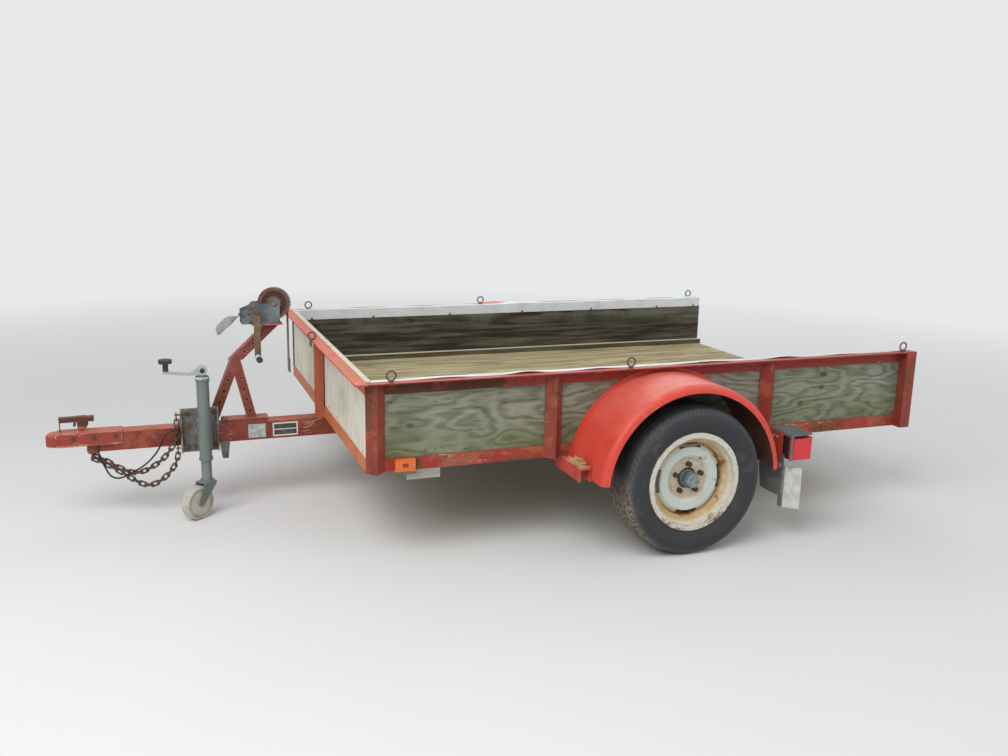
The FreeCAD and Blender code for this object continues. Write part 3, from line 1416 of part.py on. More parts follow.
mount_parts = [
    block("MountPlate", mount_x, (tongue_half, mount_out), mount_z),
    block("MountLipFront", (mount_x[1] - mount_t, mount_x[1]), (mount_out, mount_out + size("mount_lip")), mount_z),
    block("MountLipRear", (mount_x[0], mount_x[0] + mount_t), (mount_out, mount_out + size("mount_lip") / 2), mount_z),
    block("MountBack", mount_x, (-mount_out, -tongue_half), (tongue_low - mount_t * 3, low + mount_t * 3)),
    rod("PivotBoss", "y", (jack_x, mount_out, pivot_z), size("boss_r"), size("boss_l")),
    rod("PivotPin", "y", (jack_x, boss_end, pivot_z), size("pivot_r"), jack_y - size("jack_r") - boss_end),
] + pegs
bolt_r = size("mount_bolt_r")
bolt_gap = bolt_r + size("mount_bolt_clear")
for index, (x, z) in enumerate(
    (
        (jack_x, low + bolt_gap),
        (jack_x, tongue_low - bolt_gap),
        (mount_x[1] - mount_t * 3, low + bolt_gap),
        (mount_x[1] - mount_t * 3, tongue_low - bolt_gap),
    )
):
    start = (x, -mount_out - mount_t, z)
    mount_parts.append(rod(f"MountBolt{index}", "y", start, bolt_r, (mount_out + mount_t) * 2))
tab_rear = wall + size("under_tab_ahead")
under_tab = prism(
    "UnderTab",
    "XZ_Plane",
    [
        (tab_rear, tongue_low),
        (tab_rear + size("tab_l") / 5, tongue_low - size("tab_low")),
        (tab_rear + size("tab_l") * 0.75, tongue_low - size("tab_low")),
        (tab_rear + size("tab_l"), tongue_low),
    ],
    tongue_half - size("under_tab_t"),
    tongue_half,
)
node("jack_mount", group("JackMount", [join("JackMountSolid", mount_parts), under_tab]))

# Jack tube: hollow, with collars and a neck, on a saddle that turns on the mount's pin
pivot_clear = size("pivot_clear")
jack_r = size("jack_r")
jack_low = size("jack_low")
jack_high = size("jack_high")
leg_r = size("leg_r")
leg_bore = leg_r + size("leg_clear")
collar_r = size("collar_r")
collar_h = size("collar_h")
head_top = jack_high + size("head_h")
jack_corners = [
    (leg_bore, jack_low),
    (collar_r, jack_low),
    (collar_r, jack_low + collar_h),
    (jack_r, jack_low + collar_h),
    (jack_r, jack_high - collar_h),
    (collar_r, jack_high - collar_h),
    (collar_r, jack_high),
    (size("head_r"), jack_high),
    (size("head_r"), head_top),
    (0, head_top),
    (0, jack_high - leg_t),
    (leg_bore, jack_high - leg_t),
]
jack_barrel = turned("JackBarrel", jack_corners, "z", (jack_x, jack_y, 0))
saddle_half = size("saddle_l") / 2
saddle_solid = block(
    "SaddleSolid",
    (jack_x - saddle_half, jack_x + saddle_half),
    (boss_end + pivot_clear, jack_y),
    (pivot_z - size("saddle_h") / 2, pivot_z + size("saddle_h") / 2),
)
saddle_cuts = group(
    "SaddleCuts",
    [
        rod("SaddleBore", "y", (jack_x, boss_end, pivot_z), size("pivot_r") + pivot_clear, jack_y - jack_r - boss_end + pivot_clear),
        rod("SaddleTubeBore", "z", (jack_x, jack_y, jack_low), leg_bore, jack_high - jack_low),
    ],
)
node("jack_tube", join("JackTube", [jack_barrel, carve("Saddle", saddle_solid, saddle_cuts)]))

# Jack handle: a round end over the neck, an arm forward and a knob
handle_low = head_top + size("handle_gap")
handle_z = handle_low + size("handle_boss_r")
handle_half = size("handle_w") / 2
handle_end = jack_x + size("handle_reach")
handle_t = size("handle_t")
handle_corners = [
    (jack_x - handle_t, handle_low),
    (jack_x + handle_t * 4, handle_low),
    (handle_end + handle_t, handle_low + handle_t),
    (handle_end + handle_t, handle_low + handle_t * 2),
    (jack_x + handle_t * 4, handle_low + handle_t),
    (jack_x + handle_t, handle_z + handle_t),
    (jack_x - handle_t, handle_z),
]
handle_arm = prism("HandleArm", "XZ_Plane", handle_corners, jack_y - handle_half / 2, jack_y + handle_half / 2)
handle_boss = rod("HandleBoss", "y", (jack_x, jack_y - handle_half, handle_z), size("handle_boss_r"), handle_half * 2)
node("jack_crank", join("JackCrank", [handle_boss, handle_arm]))
knob_low = handle_low + handle_t * 2
knob_corners = [
    (0, 0),
    (size("knob_stem_r"), 0),
    (size("knob_stem_r"), size("knob_stem_h")),
    (size("knob_r"), size("knob_stem_h")),
    (size("knob_r"), size("knob_stem_h") + size("knob_h")),
    (0, size("knob_stem_h") + size("knob_h")),
]
node("jack_knob", turned("JackKnob", knob_corners, "z", (handle_end, jack_y, knob_low)))

# Jack leg: the inner tube with its foot plate, and the swivelling caster below it
caster_r = size("caster_r")
fork_under = caster_r * 2 + size("fork_gap")
fork_t = size("fork_t")
foot_low = fork_under + fork_t + size("swivel_gap")
foot_t = size("foot_t")
stem_bore = size("stem_r") + size("stem_clear")
leg_top = jack_high - leg_t - size("leg_top_gap")
leg_corners = [
    (stem_bore, foot_low),
    (size("foot_r"), foot_low),
    (size("foot_r"), foot_low + foot_t),
    (leg_r, foot_low + foot_t),
    (leg_r, leg_top),
    (leg_r - size("leg_wall"), leg_top),
    (leg_r - size("leg_wall"), foot_low + foot_t),
    (stem_bore, foot_low + foot_t),
]
node("jack_leg", turned("JackLeg", leg_corners, "z", (jack_x, jack_y, 0)))

trail = size("caster_trail")
caster_half = size("caster_w") / 2
cheek_in = caster_half + size("fork_side")
cheek_out = cheek_in + fork_t
fork_back = size("fork_back")
fork_front = size("fork_front")
fork_parts = [
    block("ForkPlate", (-fork_back, fork_front), (-cheek_out, cheek_out), (fork_under, fork_under + fork_t)),
    rod("SwivelStem", "z", (0, 0, fork_under), size("stem_r"), fork_t + size("swivel_gap") + foot_t),
    rod("SwivelHead", "z", (0, 0, foot_low + foot_t + size("swivel_gap")), size("stem_r") + fork_t, fork_t),
    rod("SwivelNeck", "z", (0, 0, foot_low + foot_t), size("stem_r"), size("swivel_gap")),
    rod("CasterPin", "y", (trail, -cheek_out, caster_r), size("caster_pin_r"), cheek_out * 2),
]
cheek_corners = [
    (-fork_back, fork_under + fork_t),
    (-fork_back, fork_under - fork_t),
    (trail - fork_t * 3, caster_r),
    (trail, caster_r - fork_t * 3),
    (trail + fork_t * 3, caster_r),
    (fork_front, fork_under + fork_t),
]
for name, start in (("CheekLeft", cheek_in), ("CheekRight", -cheek_out)):
    fork_parts.append(prism(name, "XZ_Plane", cheek_corners, start, start + fork_t))
wheel_corners = [
    (size("caster_pin_r") + size("stem_clear"), -caster_half),
    (caster_r - fork_t * 4, -caster_half),
    (caster_r - fork_t * 4, -caster_half + fork_t),
    (caster_r - fork_t * 2, -caster_half + fork_t),
    (caster_r - fork_t * 2, -caster_half),
    (caster_r - fork_t, -caster_half, fork_t),
    (caster_r, fork_t - caster_half),
    (caster_r, caster_half - fork_t, fork_t),
    (caster_r - fork_t, caster_half),
    (caster_r - fork_t * 2, caster_half),
    (caster_r - fork_t * 2, caster_half - fork_t),
    (caster_r - fork_t * 4, caster_half - fork_t),
    (caster_r - fork_t * 4, caster_half),
    (size("caster_pin_r") + size("stem_clear"), caster_half),
]
caster_turn = FreeCAD.Rotation(FreeCAD.Vector(0, 0, 1), 1)
for label, item in (
    ("caster_fork", join("CasterFork", fork_parts)),
    ("caster_wheel", group("CasterWheel", [turned("CasterRound", wheel_corners, "y", (trail, 0, caster_r))])),
):
    item.Placement = FreeCAD.Placement(FreeCAD.Vector(), caster_turn)
    item.setExpression("Placement.Rotation.Angle", size("caster_turn").text)
    place(item, jack_x, jack_y, 0)
    node(label, item)

# Wheels: tyre, rim with a dished and slotted disc, and hub with its nuts, made for the left side
bead_r = size("bead_r")
rim_half = size("rim_half")
rim_t = size("rim_t")
bead_half = rim_half - rim_t
lip_r = size("rim_lip_r")
tread_half = size("tread_half")
side_r = lip_r + size("tyre_over")
tyre_half = size("tyre_w") / 2
tyre_corners = [
    (bead_r, -bead_half),
    (side_r, -bead_half),
    (size("bulge_r"), -tyre_half),
    (wheel_r, -tread_half),
    (wheel_r, tread_half),
    (size("bulge_r"), tyre_half),
    (side_r, bead_half),
    (bead_r, bead_half),
]
well_r = size("well_r")
well_in = bead_half / 2
seat_in = bead_half - rim_t * 4
rim_corners = [
    (lip_r, rim_half),
    (bead_r - rim_t, rim_half),
    (bead_r - rim_t, seat_in),
    (well_r - rim_t, well_in),
    (well_r - rim_t, -well_in),
    (bead_r - rim_t, -seat_in),
    (bead_r - rim_t, -rim_half),
    (lip_r, -rim_half),
    (lip_r, -bead_half),
    (bead_r, -bead_half),
    (bead_r, -seat_in),
    (well_r, -well_in),
    (well_r, well_in),
    (bead_r, seat_in),
    (bead_r, bead_half),
    (lip_r, bead_half),
]
disc_t = size("disc_t")
disc_seat = size("disc_seat")
crown = disc_seat + size("disc_crown")
well_face = well_r - rim_t / 2
disc_corners = [
    (size("disc_bore_r"), disc_seat),
    (size("disc_flat_r"), disc_seat),
    (size("crown_in_r"), crown),
    (size("crown_out_r"), crown),
    (well_face, disc_seat),
    (well_face, disc_seat + disc_t),
    (size("crown_out_r"), crown + disc_t),
    (size("crown_in_r"), crown + disc_t),
    (size("disc_flat_r"), disc_seat + disc_t),
    (size("disc_bore_r"), disc_seat + disc_t),
]
wheel_place = (axle, wheel_y, wheel_r)
slots = []
slot_half = size("slot_half")
slot_in_r = size("slot_in_r")
slot_out_r = size("slot_out_r")
slot_in_rise = root(slot_in_r * slot_in_r - slot_half * slot_half)
slot_out_rise = root(slot_out_r * slot_out_r - slot_half * slot_half)
for index, (across, up) in enumerate(((0, 1), (1, 0), (0, -1), (-1, 0))):
    corners = []
    for side, rise, radius in (
        (1, slot_in_rise, None),
        (1, slot_out_rise, slot_out_r),
        (-1, slot_out_rise, None),
        (-1, slot_in_rise, -slot_in_r),
    ):
        u = rise * across + slot_half * side * up
        v = rise * up - slot_half * side * across
        spot = (axle + u, wheel_r + v)
        corners.append(spot if radius is None else spot + (radius,))
    slots.append(prism(f"DiscSlot{index}", "XZ_Plane", corners, wheel_y, wheel_y + rim_half))
tyre = turned("TyreLeft", tyre_corners, "y", wheel_place)
rim_ring = turned("RimRing", rim_corners, "y", wheel_place)
rim_disc = carve("RimDisc", turned("RimDiscTurn", disc_corners, "y", wheel_place), group("DiscSlots", slots))
rim = join("RimLeft", [rim_ring, rim_disc])

hub_bore = size("spindle_r") + size("spindle_clear")
hub_r = size("hub_r")
hub_cap_r = size("hub_cap_r")
hub_step = size("hub_step")
hub_out = size("hub_out")
hub_corners = [
    (hub_bore, -size("hub_in")),
    (hub_r, -size("hub_in")),
    (hub_r, disc_seat - size("hub_flange_t")),
    (size("hub_flange_r"), disc_seat - size("hub_flange_t")),
    (size("hub_flange_r"), disc_seat),
    (hub_r, disc_seat),
    (hub_r, hub_step),
    (hub_cap_r, hub_step),
    (hub_cap_r, hub_out - lip_r / 40),
    (hub_cap_r - lip_r / 40, hub_out),
    (0, hub_out),
    (0, size("spindle_out") + size("spindle_clear")),
    (hub_bore, size("spindle_out") + size("spindle_clear")),
]
hub_barrel = turned("HubBarrel", hub_corners, "y", wheel_place)
nuts = []
for index in range(5):
    angle = math.radians(90 + 72 * index)
    x = axle + size("lug_circle_r") * round(math.cos(angle), 6)
    z = wheel_r + size("lug_circle_r") * round(math.sin(angle), 6)
    nut_low = wheel_y + disc_seat + disc_t + size("lug_clear")
    nuts.append(rod(f"LugNut{index}", "y", (x, nut_low, z), size("lug_r"), size("lug_h")))
hub = group("HubLeft", [hub_barrel] + nuts)
for kind, item in (("tyre", tyre), ("rim", rim), ("hub", hub)):
    node(f"{kind}_right", mirrored(item))
    node(f"{kind}_left", item)

doc.recompute()
faults = [item.Name for item in doc.Objects if "Invalid" in item.State or "Error" in item.State]
for item in NODES:
    if item.Shape.isNull() or not item.Shape.isValid():
        faults.append(item.Label)
if faults:
    raise SystemExit("failed: " + ", ".join(faults))
for item in NODES:
    item.Shape.exportStep(f"parts/{item.Label}.step")
    print(item.Label, len(item.Shape.Solids), round(item.Shape.Volume))
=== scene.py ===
"""Looks of a single-axle utility trailer, laid out as a Blender add-on and run as a script."""

import math
import random

import bmesh
import bpy
from bpy.props import FloatProperty, FloatVectorProperty, IntProperty, PointerProperty
from mathutils import Matrix, Vector


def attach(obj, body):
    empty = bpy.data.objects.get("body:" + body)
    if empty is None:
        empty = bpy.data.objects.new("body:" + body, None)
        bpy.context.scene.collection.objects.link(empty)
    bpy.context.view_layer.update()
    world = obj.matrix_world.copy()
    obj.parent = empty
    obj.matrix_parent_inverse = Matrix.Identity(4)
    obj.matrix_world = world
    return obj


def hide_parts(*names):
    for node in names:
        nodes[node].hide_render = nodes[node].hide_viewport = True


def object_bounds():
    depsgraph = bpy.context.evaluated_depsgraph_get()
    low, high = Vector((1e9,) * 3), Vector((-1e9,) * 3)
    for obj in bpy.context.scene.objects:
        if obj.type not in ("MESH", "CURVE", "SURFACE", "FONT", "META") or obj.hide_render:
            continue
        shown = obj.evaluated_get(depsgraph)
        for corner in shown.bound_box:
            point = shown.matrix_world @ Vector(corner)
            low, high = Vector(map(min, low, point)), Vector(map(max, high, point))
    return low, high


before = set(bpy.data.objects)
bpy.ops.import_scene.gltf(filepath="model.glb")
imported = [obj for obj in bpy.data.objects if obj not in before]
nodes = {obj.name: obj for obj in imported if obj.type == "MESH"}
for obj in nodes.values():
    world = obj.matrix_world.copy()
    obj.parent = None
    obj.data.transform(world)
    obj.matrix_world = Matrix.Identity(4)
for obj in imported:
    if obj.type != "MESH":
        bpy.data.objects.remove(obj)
cad_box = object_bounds()

bl_info = {
    "name": "Utility Trailer Looks",
    "version": (1, 0, 0),
    "blender": (4, 5, 0),
    "location": "3D View > Sidebar > Trailer",
    "description": "Finishes and small pieces of a single-axle utility trailer",
    "category": "Object",
}

# Places that several pieces share, in metres

SIDES = {"left": 1, "right": -1}
WHEEL = Vector((-0.5605, 0.0, 0.295))
WHEEL_Y = 1.045
TYRE_RADIUS = 0.295
DRUM = Vector((0.861, 0.0, 0.875))
CRANK = Vector((0.939, 0.0, 0.846))
CRANK_HUB_END = 0.0858
JACK = Vector((1.170, 0.125, 0.0))
BOARD_FACE = 0.8650
PLANK_TOP = 0.4310
PLANK_EDGE = -0.8515
PLANK_PITCH = 0.1419
FIRST_PLANK = -0.7805
FLOOR_BATTEN_TOP = 0.452
TONGUE_FACE = 0.0384
FLAP_FACE = -0.9748
FLAP_STRIP_EDGE = -0.9880


# Sizes and colours that a user may change


def colour(label, about, value):
    return FloatVectorProperty(
        name=label, description=about, subtype="COLOR", size=3, min=0, max=1, default=value,
    )


def length(label, about, value):
    return FloatProperty(name=label, description=about, unit="LENGTH", min=0, default=value)


def number(label, about, low, high, value):
    return IntProperty(name=label, description=about, min=low, max=high, default=value)


def power(label, about, value):
    return FloatProperty(name=label, description=about, subtype="POWER", min=0, default=value)


class TrailerColours(bpy.types.PropertyGroup):
    fender_red: colour("Fender red", "Paint of the fenders", (0.66, 0.066, 0.044))
    # Paler red of faded patches, also a painted highlight on upward faces
    faded_red: colour("Faded red", "Chalky paint on upper faces", (0.76, 0.175, 0.13))
    frame_red: colour("Frame red", "Paint of the rails and posts", (0.30, 0.030, 0.020))
    orange_red: colour("Orange red", "Sun-bleached paint at the front", (0.58, 0.16, 0.048))
    tongue_red: colour("Tongue red", "Dark paint of the tongue", (0.205, 0.030, 0.018))
    stand_red: colour("Stand red", "Paint of the winch stand", (0.185, 0.040, 0.028))
    rust_dark: colour("Dark rust", "Deep rust", (0.072, 0.031, 0.020))
    rust_pale: colour("Pale rust", "Dusty rust", (0.265, 0.088, 0.040))
    wall_light: colour("Wall board, light", "Weathered grey face of the side boards", (0.31, 0.32, 0.255))
    wall_dark: colour("Wall board, dark", "Dark grain of the side boards", (0.125, 0.125, 0.090))
    moss: colour("Moss", "Green film on the boards", (0.155, 0.180, 0.072))
    front_light: colour("Front board, light", "Bleached face of the front boards", (0.84, 0.81, 0.71))
    front_dark: colour("Front board, dark", "Grain of the front boards", (0.56, 0.53, 0.43))
    # Painted shade: the colours of the wall faces toward the bed, which lie in shade
    inner_shade_light: colour("Inner board, light", "Grey streaks inside the walls", (0.120, 0.106, 0.080))
    inner_shade_dark: colour("Inner board, dark", "Damp boards inside the walls", (0.030, 0.025, 0.017))
    plank_light: colour("Plank, light", "Floor planks in the sun", (0.66, 0.57, 0.34))
    plank_dark: colour("Plank, dark", "Grain of the floor planks", (0.26, 0.21, 0.115))
    cream: colour("Cream strip", "Worn strip on the front wall", (0.66, 0.62, 0.50))
    grey_paint: colour("Jack grey", "Grey-green paint of the jack", (0.150, 0.186, 0.168))
    rim_white: colour("Rim white", "Old white paint of the rims", (0.66, 0.64, 0.55))
    disc_white: colour("Disc white", "Bluish white paint of the wheel disc", (0.56, 0.63, 0.58))
    ochre: colour("Ochre", "Stained old paint in the rim's trough", (0.50, 0.34, 0.15))
    rubber: colour("Rubber", "Tyre rubber", (0.036, 0.038, 0.042))
    dust: colour("Dust", "Dry dirt", (0.25, 0.195, 0.130))
    amber: colour("Amber", "Side lamp lens", (0.74, 0.125, 0.002))
    lens_red: colour("Lens red", "Tail lamp lens", (0.70, 0.010, 0.016))
    webbing: colour("Webbing", "Bleached strap", (0.66, 0.66, 0.70))
    # Painted shade with a painted green reflection: the webbing's colour where it lies in shade
    shaded_webbing: colour("Olive webbing", "Dirty strap on the drum", (0.12, 0.115, 0.075))
    straw: colour("Straw", "Dry straw", (0.62, 0.42, 0.21))
    scratch: colour("Scratch", "Chalky scratches in the paint", (0.72, 0.56, 0.50))
    # Painted highlight: the pale colour of the batten's upward faces
    sill_highlight: colour("Pale sill", "Dry top edge of the batten on the floor", (0.66, 0.60, 0.46))


class TrailerSizes(bpy.types.PropertyGroup):
    tread_depth: length("Tread depth", "Depth of the tyre's grooves", 0.006)
    tread_steps: number("Tyre steps", "Divisions round the tyre", 48, 240, 144)
    gear_teeth: number("Gear teeth", "Teeth of the winch's drum gear", 24, 120, 70)
    mount_nut: length("Mount nut", "Across the flats of the jack mount's nuts", 0.016)
    link_round: length("Link rounding", "Radius that rounds the chain's wire", 0.0021)
    trim_wave: length("Trim wave", "How far the loose trim lifts from the rail", 0.0075)
    straw_blades: number("Straw", "Blades of straw on each heap", 0, 600, 260)


class TrailerStage(bpy.types.PropertyGroup):
    floor: colour("Floor", "Plain pale floor", (0.78, 0.79, 0.79))
    backdrop: colour("Backdrop", "Plain background behind the floor", (0.80, 0.81, 0.82))
    key: power("Key lamp", "Power of the large soft lamp", 255)
    fill: power("Fill lamp", "Power of each of the two other lamps", 64)
    sky: FloatProperty(name="Sky", description="Strength of the even light", min=0, default=0.43)


def colours():
    return bpy.context.scene.trailer_colours


def sizes():
    return bpy.context.scene.trailer_sizes


def toned(base, factor):
    """A colour made darker or lighter by one factor."""
    return tuple(min(1.0, value * factor) for value in base)


# Nodes


def is_socket(value):
    return isinstance(value, bpy.types.NodeSocket)


def feed(tree, socket, value):
    """Links a socket to an input, or sets the input to a plain value."""
    if is_socket(value):
        tree.links.new(value, socket)
    else:
        socket.default_value = value


def put(tree, kind, inputs=None, out=0, **settings):
    """Adds one node, sets or links its inputs, and returns one of its outputs."""
    node = tree.nodes.new("ShaderNode" + kind)
    for key, value in settings.items():
        setattr(node, key, value)
    for key, value in (inputs or {}).items():
        feed(tree, node.inputs[key], value)
    return node.outputs[out] if node.outputs else None


def maths(tree, operation, *values):
    return put(tree, "Math", dict(enumerate(values)), operation=operation)


def times(tree, first, second):
    return maths(tree, "MULTIPLY", first, second)


def plus(tree, first, second):
    return maths(tree, "ADD", first, second)


def less(tree, first, second):
    return maths(tree, "SUBTRACT", first, second)


def times_plus(tree, value, factor, added):
    return maths(tree, "MULTIPLY_ADD", value, factor, added)


def vector_maths(tree, operation, *values, out=0):
    return put(tree, "VectorMath", dict(enumerate(values)), out=out, operation=operation)


def dot(tree, first, second):
    return vector_maths(tree, "DOT_PRODUCT", first, second, out="Value")


def span(tree, value, low, high, to_low=0.0, to_high=1.0):
    """Maps low..high to to_low..to_high and holds the ends."""
    return put(tree, "MapRange", {0: value, 1: low, 2: high, 3: to_low, 4: to_high}, clamp=True)


def band(tree, value, rise, fall):
    """One between two edges and none outside them; each edge is a pair from and to."""
    return times(tree, span(tree, value, *rise), span(tree, value, *fall))


def shade(tree, factor, first, second):
    """Mixes two colours."""
    mixed = {0: factor}
    for index, value in ((6, first), (7, second)):
        mixed[index] = value if is_socket(value) else (*value, 1)
    return put(tree, "Mix", mixed, out=2, data_type="RGBA")


def lay(tree, tone, mask, over, amount=None):
    """Lays a colour over the tone where the mask is, by an amount."""
    return shade(tree, mask if amount is None else times(tree, mask, amount), tone, over)


def noise(tree, vector, scale, detail=3.0, rough=0.55):
    inputs = {"Vector": vector, "Scale": scale, "Detail": detail, "Roughness": rough}
    return put(tree, "TexNoise", inputs)


def part_of(tree, vector, axis):
    """One coordinate of a position or direction."""
    return put(tree, "SeparateXYZ", {0: vector}, out=axis)


def face_normal(tree):
    """The direction of the face, in the object's own axes."""
    return put(tree, "TexCoord", out="Normal")


def zone(tree, place, axis, low, high, amount=1.0):
    """Rises from none at low to the amount at high, along one axis."""
    return span(tree, part_of(tree, place, axis), low, high, 0.0, amount)


def stretch(tree, vector, scale, at=(0, 0, 0), turn=(0, 0, 0)):
    return put(tree, "Mapping", {"Vector": vector, "Location": at, "Rotation": turn, "Scale": scale})


def off_axle(tree, place, middle):
    """The position measured from a line along Y through the middle."""
    return stretch(tree, place, (1, 0, 1), at=(-middle.x, 0, -middle.z))


def radius_from(tree, place, middle):
    """The distance from a line along Y through the middle."""
    return vector_maths(tree, "LENGTH", off_axle(tree, place, middle), out="Value")


# Effects that several materials share, each a node group

effects = {}


def effect(name, build, outputs=("Mask",), **inputs):
    """A node group that takes a Vector and the named inputs and puts out numbers, built once."""
    if name in effects:
        return effects[name]
    tree = bpy.data.node_groups.new(name, "ShaderNodeTree")
    tree.interface.new_socket("Vector", in_out="INPUT", socket_type="NodeSocketVector")
    for label, value in inputs.items():
        kind = "NodeSocketVector" if isinstance(value, tuple) else "NodeSocketFloat"
        tree.interface.new_socket(label, in_out="INPUT", socket_type=kind).default_value = value
    for label in outputs:
        tree.interface.new_socket(label, in_out="OUTPUT", socket_type="NodeSocketFloat")
    given = tree.nodes.new("NodeGroupInput").outputs
    results = build(tree, given["Vector"], *(given[label] for label in inputs))
    end = tree.nodes.new("NodeGroupOutput")
    for label, socket in zip(outputs, results):
        tree.links.new(socket, end.inputs[label])
    effects[name] = tree
    return tree


def use(tree, group, place, **inputs):
    """Places a node group and returns its outputs by name."""
    node = tree.nodes.new("ShaderNodeGroup")
    node.node_tree = group
    feed(tree, node.inputs["Vector"], place)
    for key, value in inputs.items():
        feed(tree, node.inputs[key], value)
    return {output.name: output for output in node.outputs}


def patches(tree, place, scale, cover, softness=0.3):
    """Soft-edged patches whose cover runs from none to all."""

    def build(tree, place, scale, cover, softness):
        coarse = noise(tree, place, scale, 4.0, 0.6)
        low = span(tree, cover, 0, 1, 0.75, 0.22)
        return (span(tree, coarse, low, plus(tree, low, softness)),)

    group = effect("Patches", build, Scale=8.0, Cover=0.5, Softness=0.15)
    return use(tree, group, place, Scale=scale, Cover=cover, Softness=softness)["Mask"]


def edge_wear(tree, place, width):
    """Where a face turns a corner, broken up by noise."""

    def build(tree, place, width):
        rounded = put(tree, "Bevel", {"Radius": width}, samples=6)
        flat = put(tree, "NewGeometry", out="Normal")
        corner = span(tree, dot(tree, rounded, flat), 0.995, 0.86)
        grain = noise(tree, place, 42, 4.0, 0.65)
        return (times(tree, corner, span(tree, grain, 0.38, 0.60)),)

    return use(tree, effect("Edge wear", build, Width=0.004), place, Width=width)["Mask"]


def top_faces(tree, place, scale):
    """Faces of the object that look upward, softened by noise."""

    def build(tree, place, scale):
        up = part_of(tree, face_normal(tree), "Z")
        grain = noise(tree, place, scale, 4.0)
        return (span(tree, plus(tree, up, times(tree, grain, 0.5)), 0.75, 1.2),)

    return use(tree, effect("Top faces", build, Scale=12.0), place, Scale=scale)["Mask"]


def rust(tree, place, scale, cover, edges):
    """Rust patches as a Mask, a Tint that mixes their colour, and their Height."""

    def build(tree, place, scale, cover, edges):
        coarse = noise(tree, place, scale, 5.0, 0.62)
        fine = noise(tree, place, times(tree, scale, 9), 4.0, 0.65)
        corner = edge_wear(tree, place, 0.005)
        amount = plus(tree, times(tree, coarse, 0.72), times(tree, fine, 0.28))
        amount = times_plus(tree, corner, edges, amount)
        low = span(tree, cover, 0, 1, 0.70, 0.32)
        mask = span(tree, amount, low, plus(tree, low, 0.07))
        return mask, span(tree, fine, 0.35, 0.68), times(tree, mask, fine)

    group = effect("Rust", build, ("Mask", "Tint", "Height"), Scale=7.0, Cover=0.3, Edges=0.2)
    return use(tree, group, place, Scale=scale, Cover=cover, Edges=edges)


def scratches(tree, place):
    """Short pale scratches that lie roughly along X."""

    def build(tree, place, drawn):
        line = noise(tree, vector_maths(tree, "MULTIPLY", place, drawn), 1.0, 2.0, 0.5)
        thin = span(tree, maths(tree, "ABSOLUTE", less(tree, line, 0.5)), 0.012, 0.004)
        area = noise(tree, place, 9, 2.0)
        return (times(tree, thin, span(tree, area, 0.52, 0.62)),)

    return use(tree, effect("Scratches", build, Drawn=(8, 70, 90)), place)["Mask"]


def inner_face(tree, place, axis):
    """Faces that look toward the middle of the object along one axis."""

    def build(tree, place, axis):
        looks = dot(tree, face_normal(tree), axis)
        side = maths(tree, "SIGN", dot(tree, place, axis))
        return (span(tree, times(tree, looks, side), -0.3, -0.6),)

    return use(tree, effect("Inner face", build, Axis=(0, 1, 0)), place, Axis=axis)["Mask"]


def wood_figure(tree, place, rings, count, fibres):
    """Growth rings drawn out along the board as Figure, with its Fibre and Blotch."""

    def build(tree, place, rings, count, fibres):
        field = noise(tree, vector_maths(tree, "MULTIPLY", place, rings), 1.0, 2.0, 0.45)
        wave = maths(tree, "SINE", times(tree, field, count))
        fibre = noise(tree, vector_maths(tree, "MULTIPLY", place, fibres), 1.0, 3.0, 0.6)
        return span(tree, wave, -1, 1), fibre, noise(tree, place, 3.2, 4.0, 0.6)

    group = effect(
        "Wood figure", build, ("Figure", "Fibre", "Blotch"),
        Rings=(1.1, 4, 4.5), Count=60.0, Fibres=(9, 120, 120),
    )
    return use(tree, group, place, Rings=rings, Count=count, Fibres=fibres)


def knot(tree, place, centre, radius):
    """A round knot at a point, a little longer along X than up."""

    def build(tree, place, centre, radius):
        apart = vector_maths(tree, "SUBTRACT", place, centre)
        apart = vector_maths(tree, "MULTIPLY", apart, (0.8, 1.0, 1.15))
        share = maths(tree, "DIVIDE", vector_maths(tree, "LENGTH", apart, out="Value"), radius)
        rings = span(tree, maths(tree, "SINE", times(tree, share, 14)), -1, 1, 0.55, 1)
        return (times(tree, span(tree, share, 1.05, 0.75), rings),)

    group = effect("Knot", build, Centre=(0, 0, 0), Radius=0.02)
    return use(tree, group, place, Centre=centre, Radius=radius)["Mask"]


# Materials


def begin(name):
    """A new material's tree, its Principled shader and its Object coordinates."""
    material = bpy.data.materials.new(name)
    material.use_nodes = True
    tree = material.node_tree
    shader = tree.nodes["Principled BSDF"]
    return material, tree, shader, put(tree, "TexCoord", out="Object")


def finish(tree, shader, height, strength, distance, **inputs):
    """Joins the named inputs and a relief to the shader."""
    relief = put(tree, "Bump", {"Height": height, "Strength": strength, "Distance": distance})
    for key, value in {**inputs, "Normal": relief}.items():
        feed(tree, shader.inputs[key.replace("_", " ")], value)


def dirty_inside(tree, place, tone, middle):
    """Covers the faces that look toward a line along Y with road dirt."""
    outward = vector_maths(tree, "NORMALIZE", off_axle(tree, place, middle))
    away = dot(tree, outward, face_normal(tree))
    clods = span(tree, noise(tree, place, 24, 4.0, 0.65), 0.36, 0.64)
    wet, dry = (0.030, 0.022, 0.018), (0.085, 0.066, 0.050)
    soil = shade(tree, clods, wet, dry)
    return lay(tree, tone, span(tree, away, -0.25, -0.6), soil, 0.92)


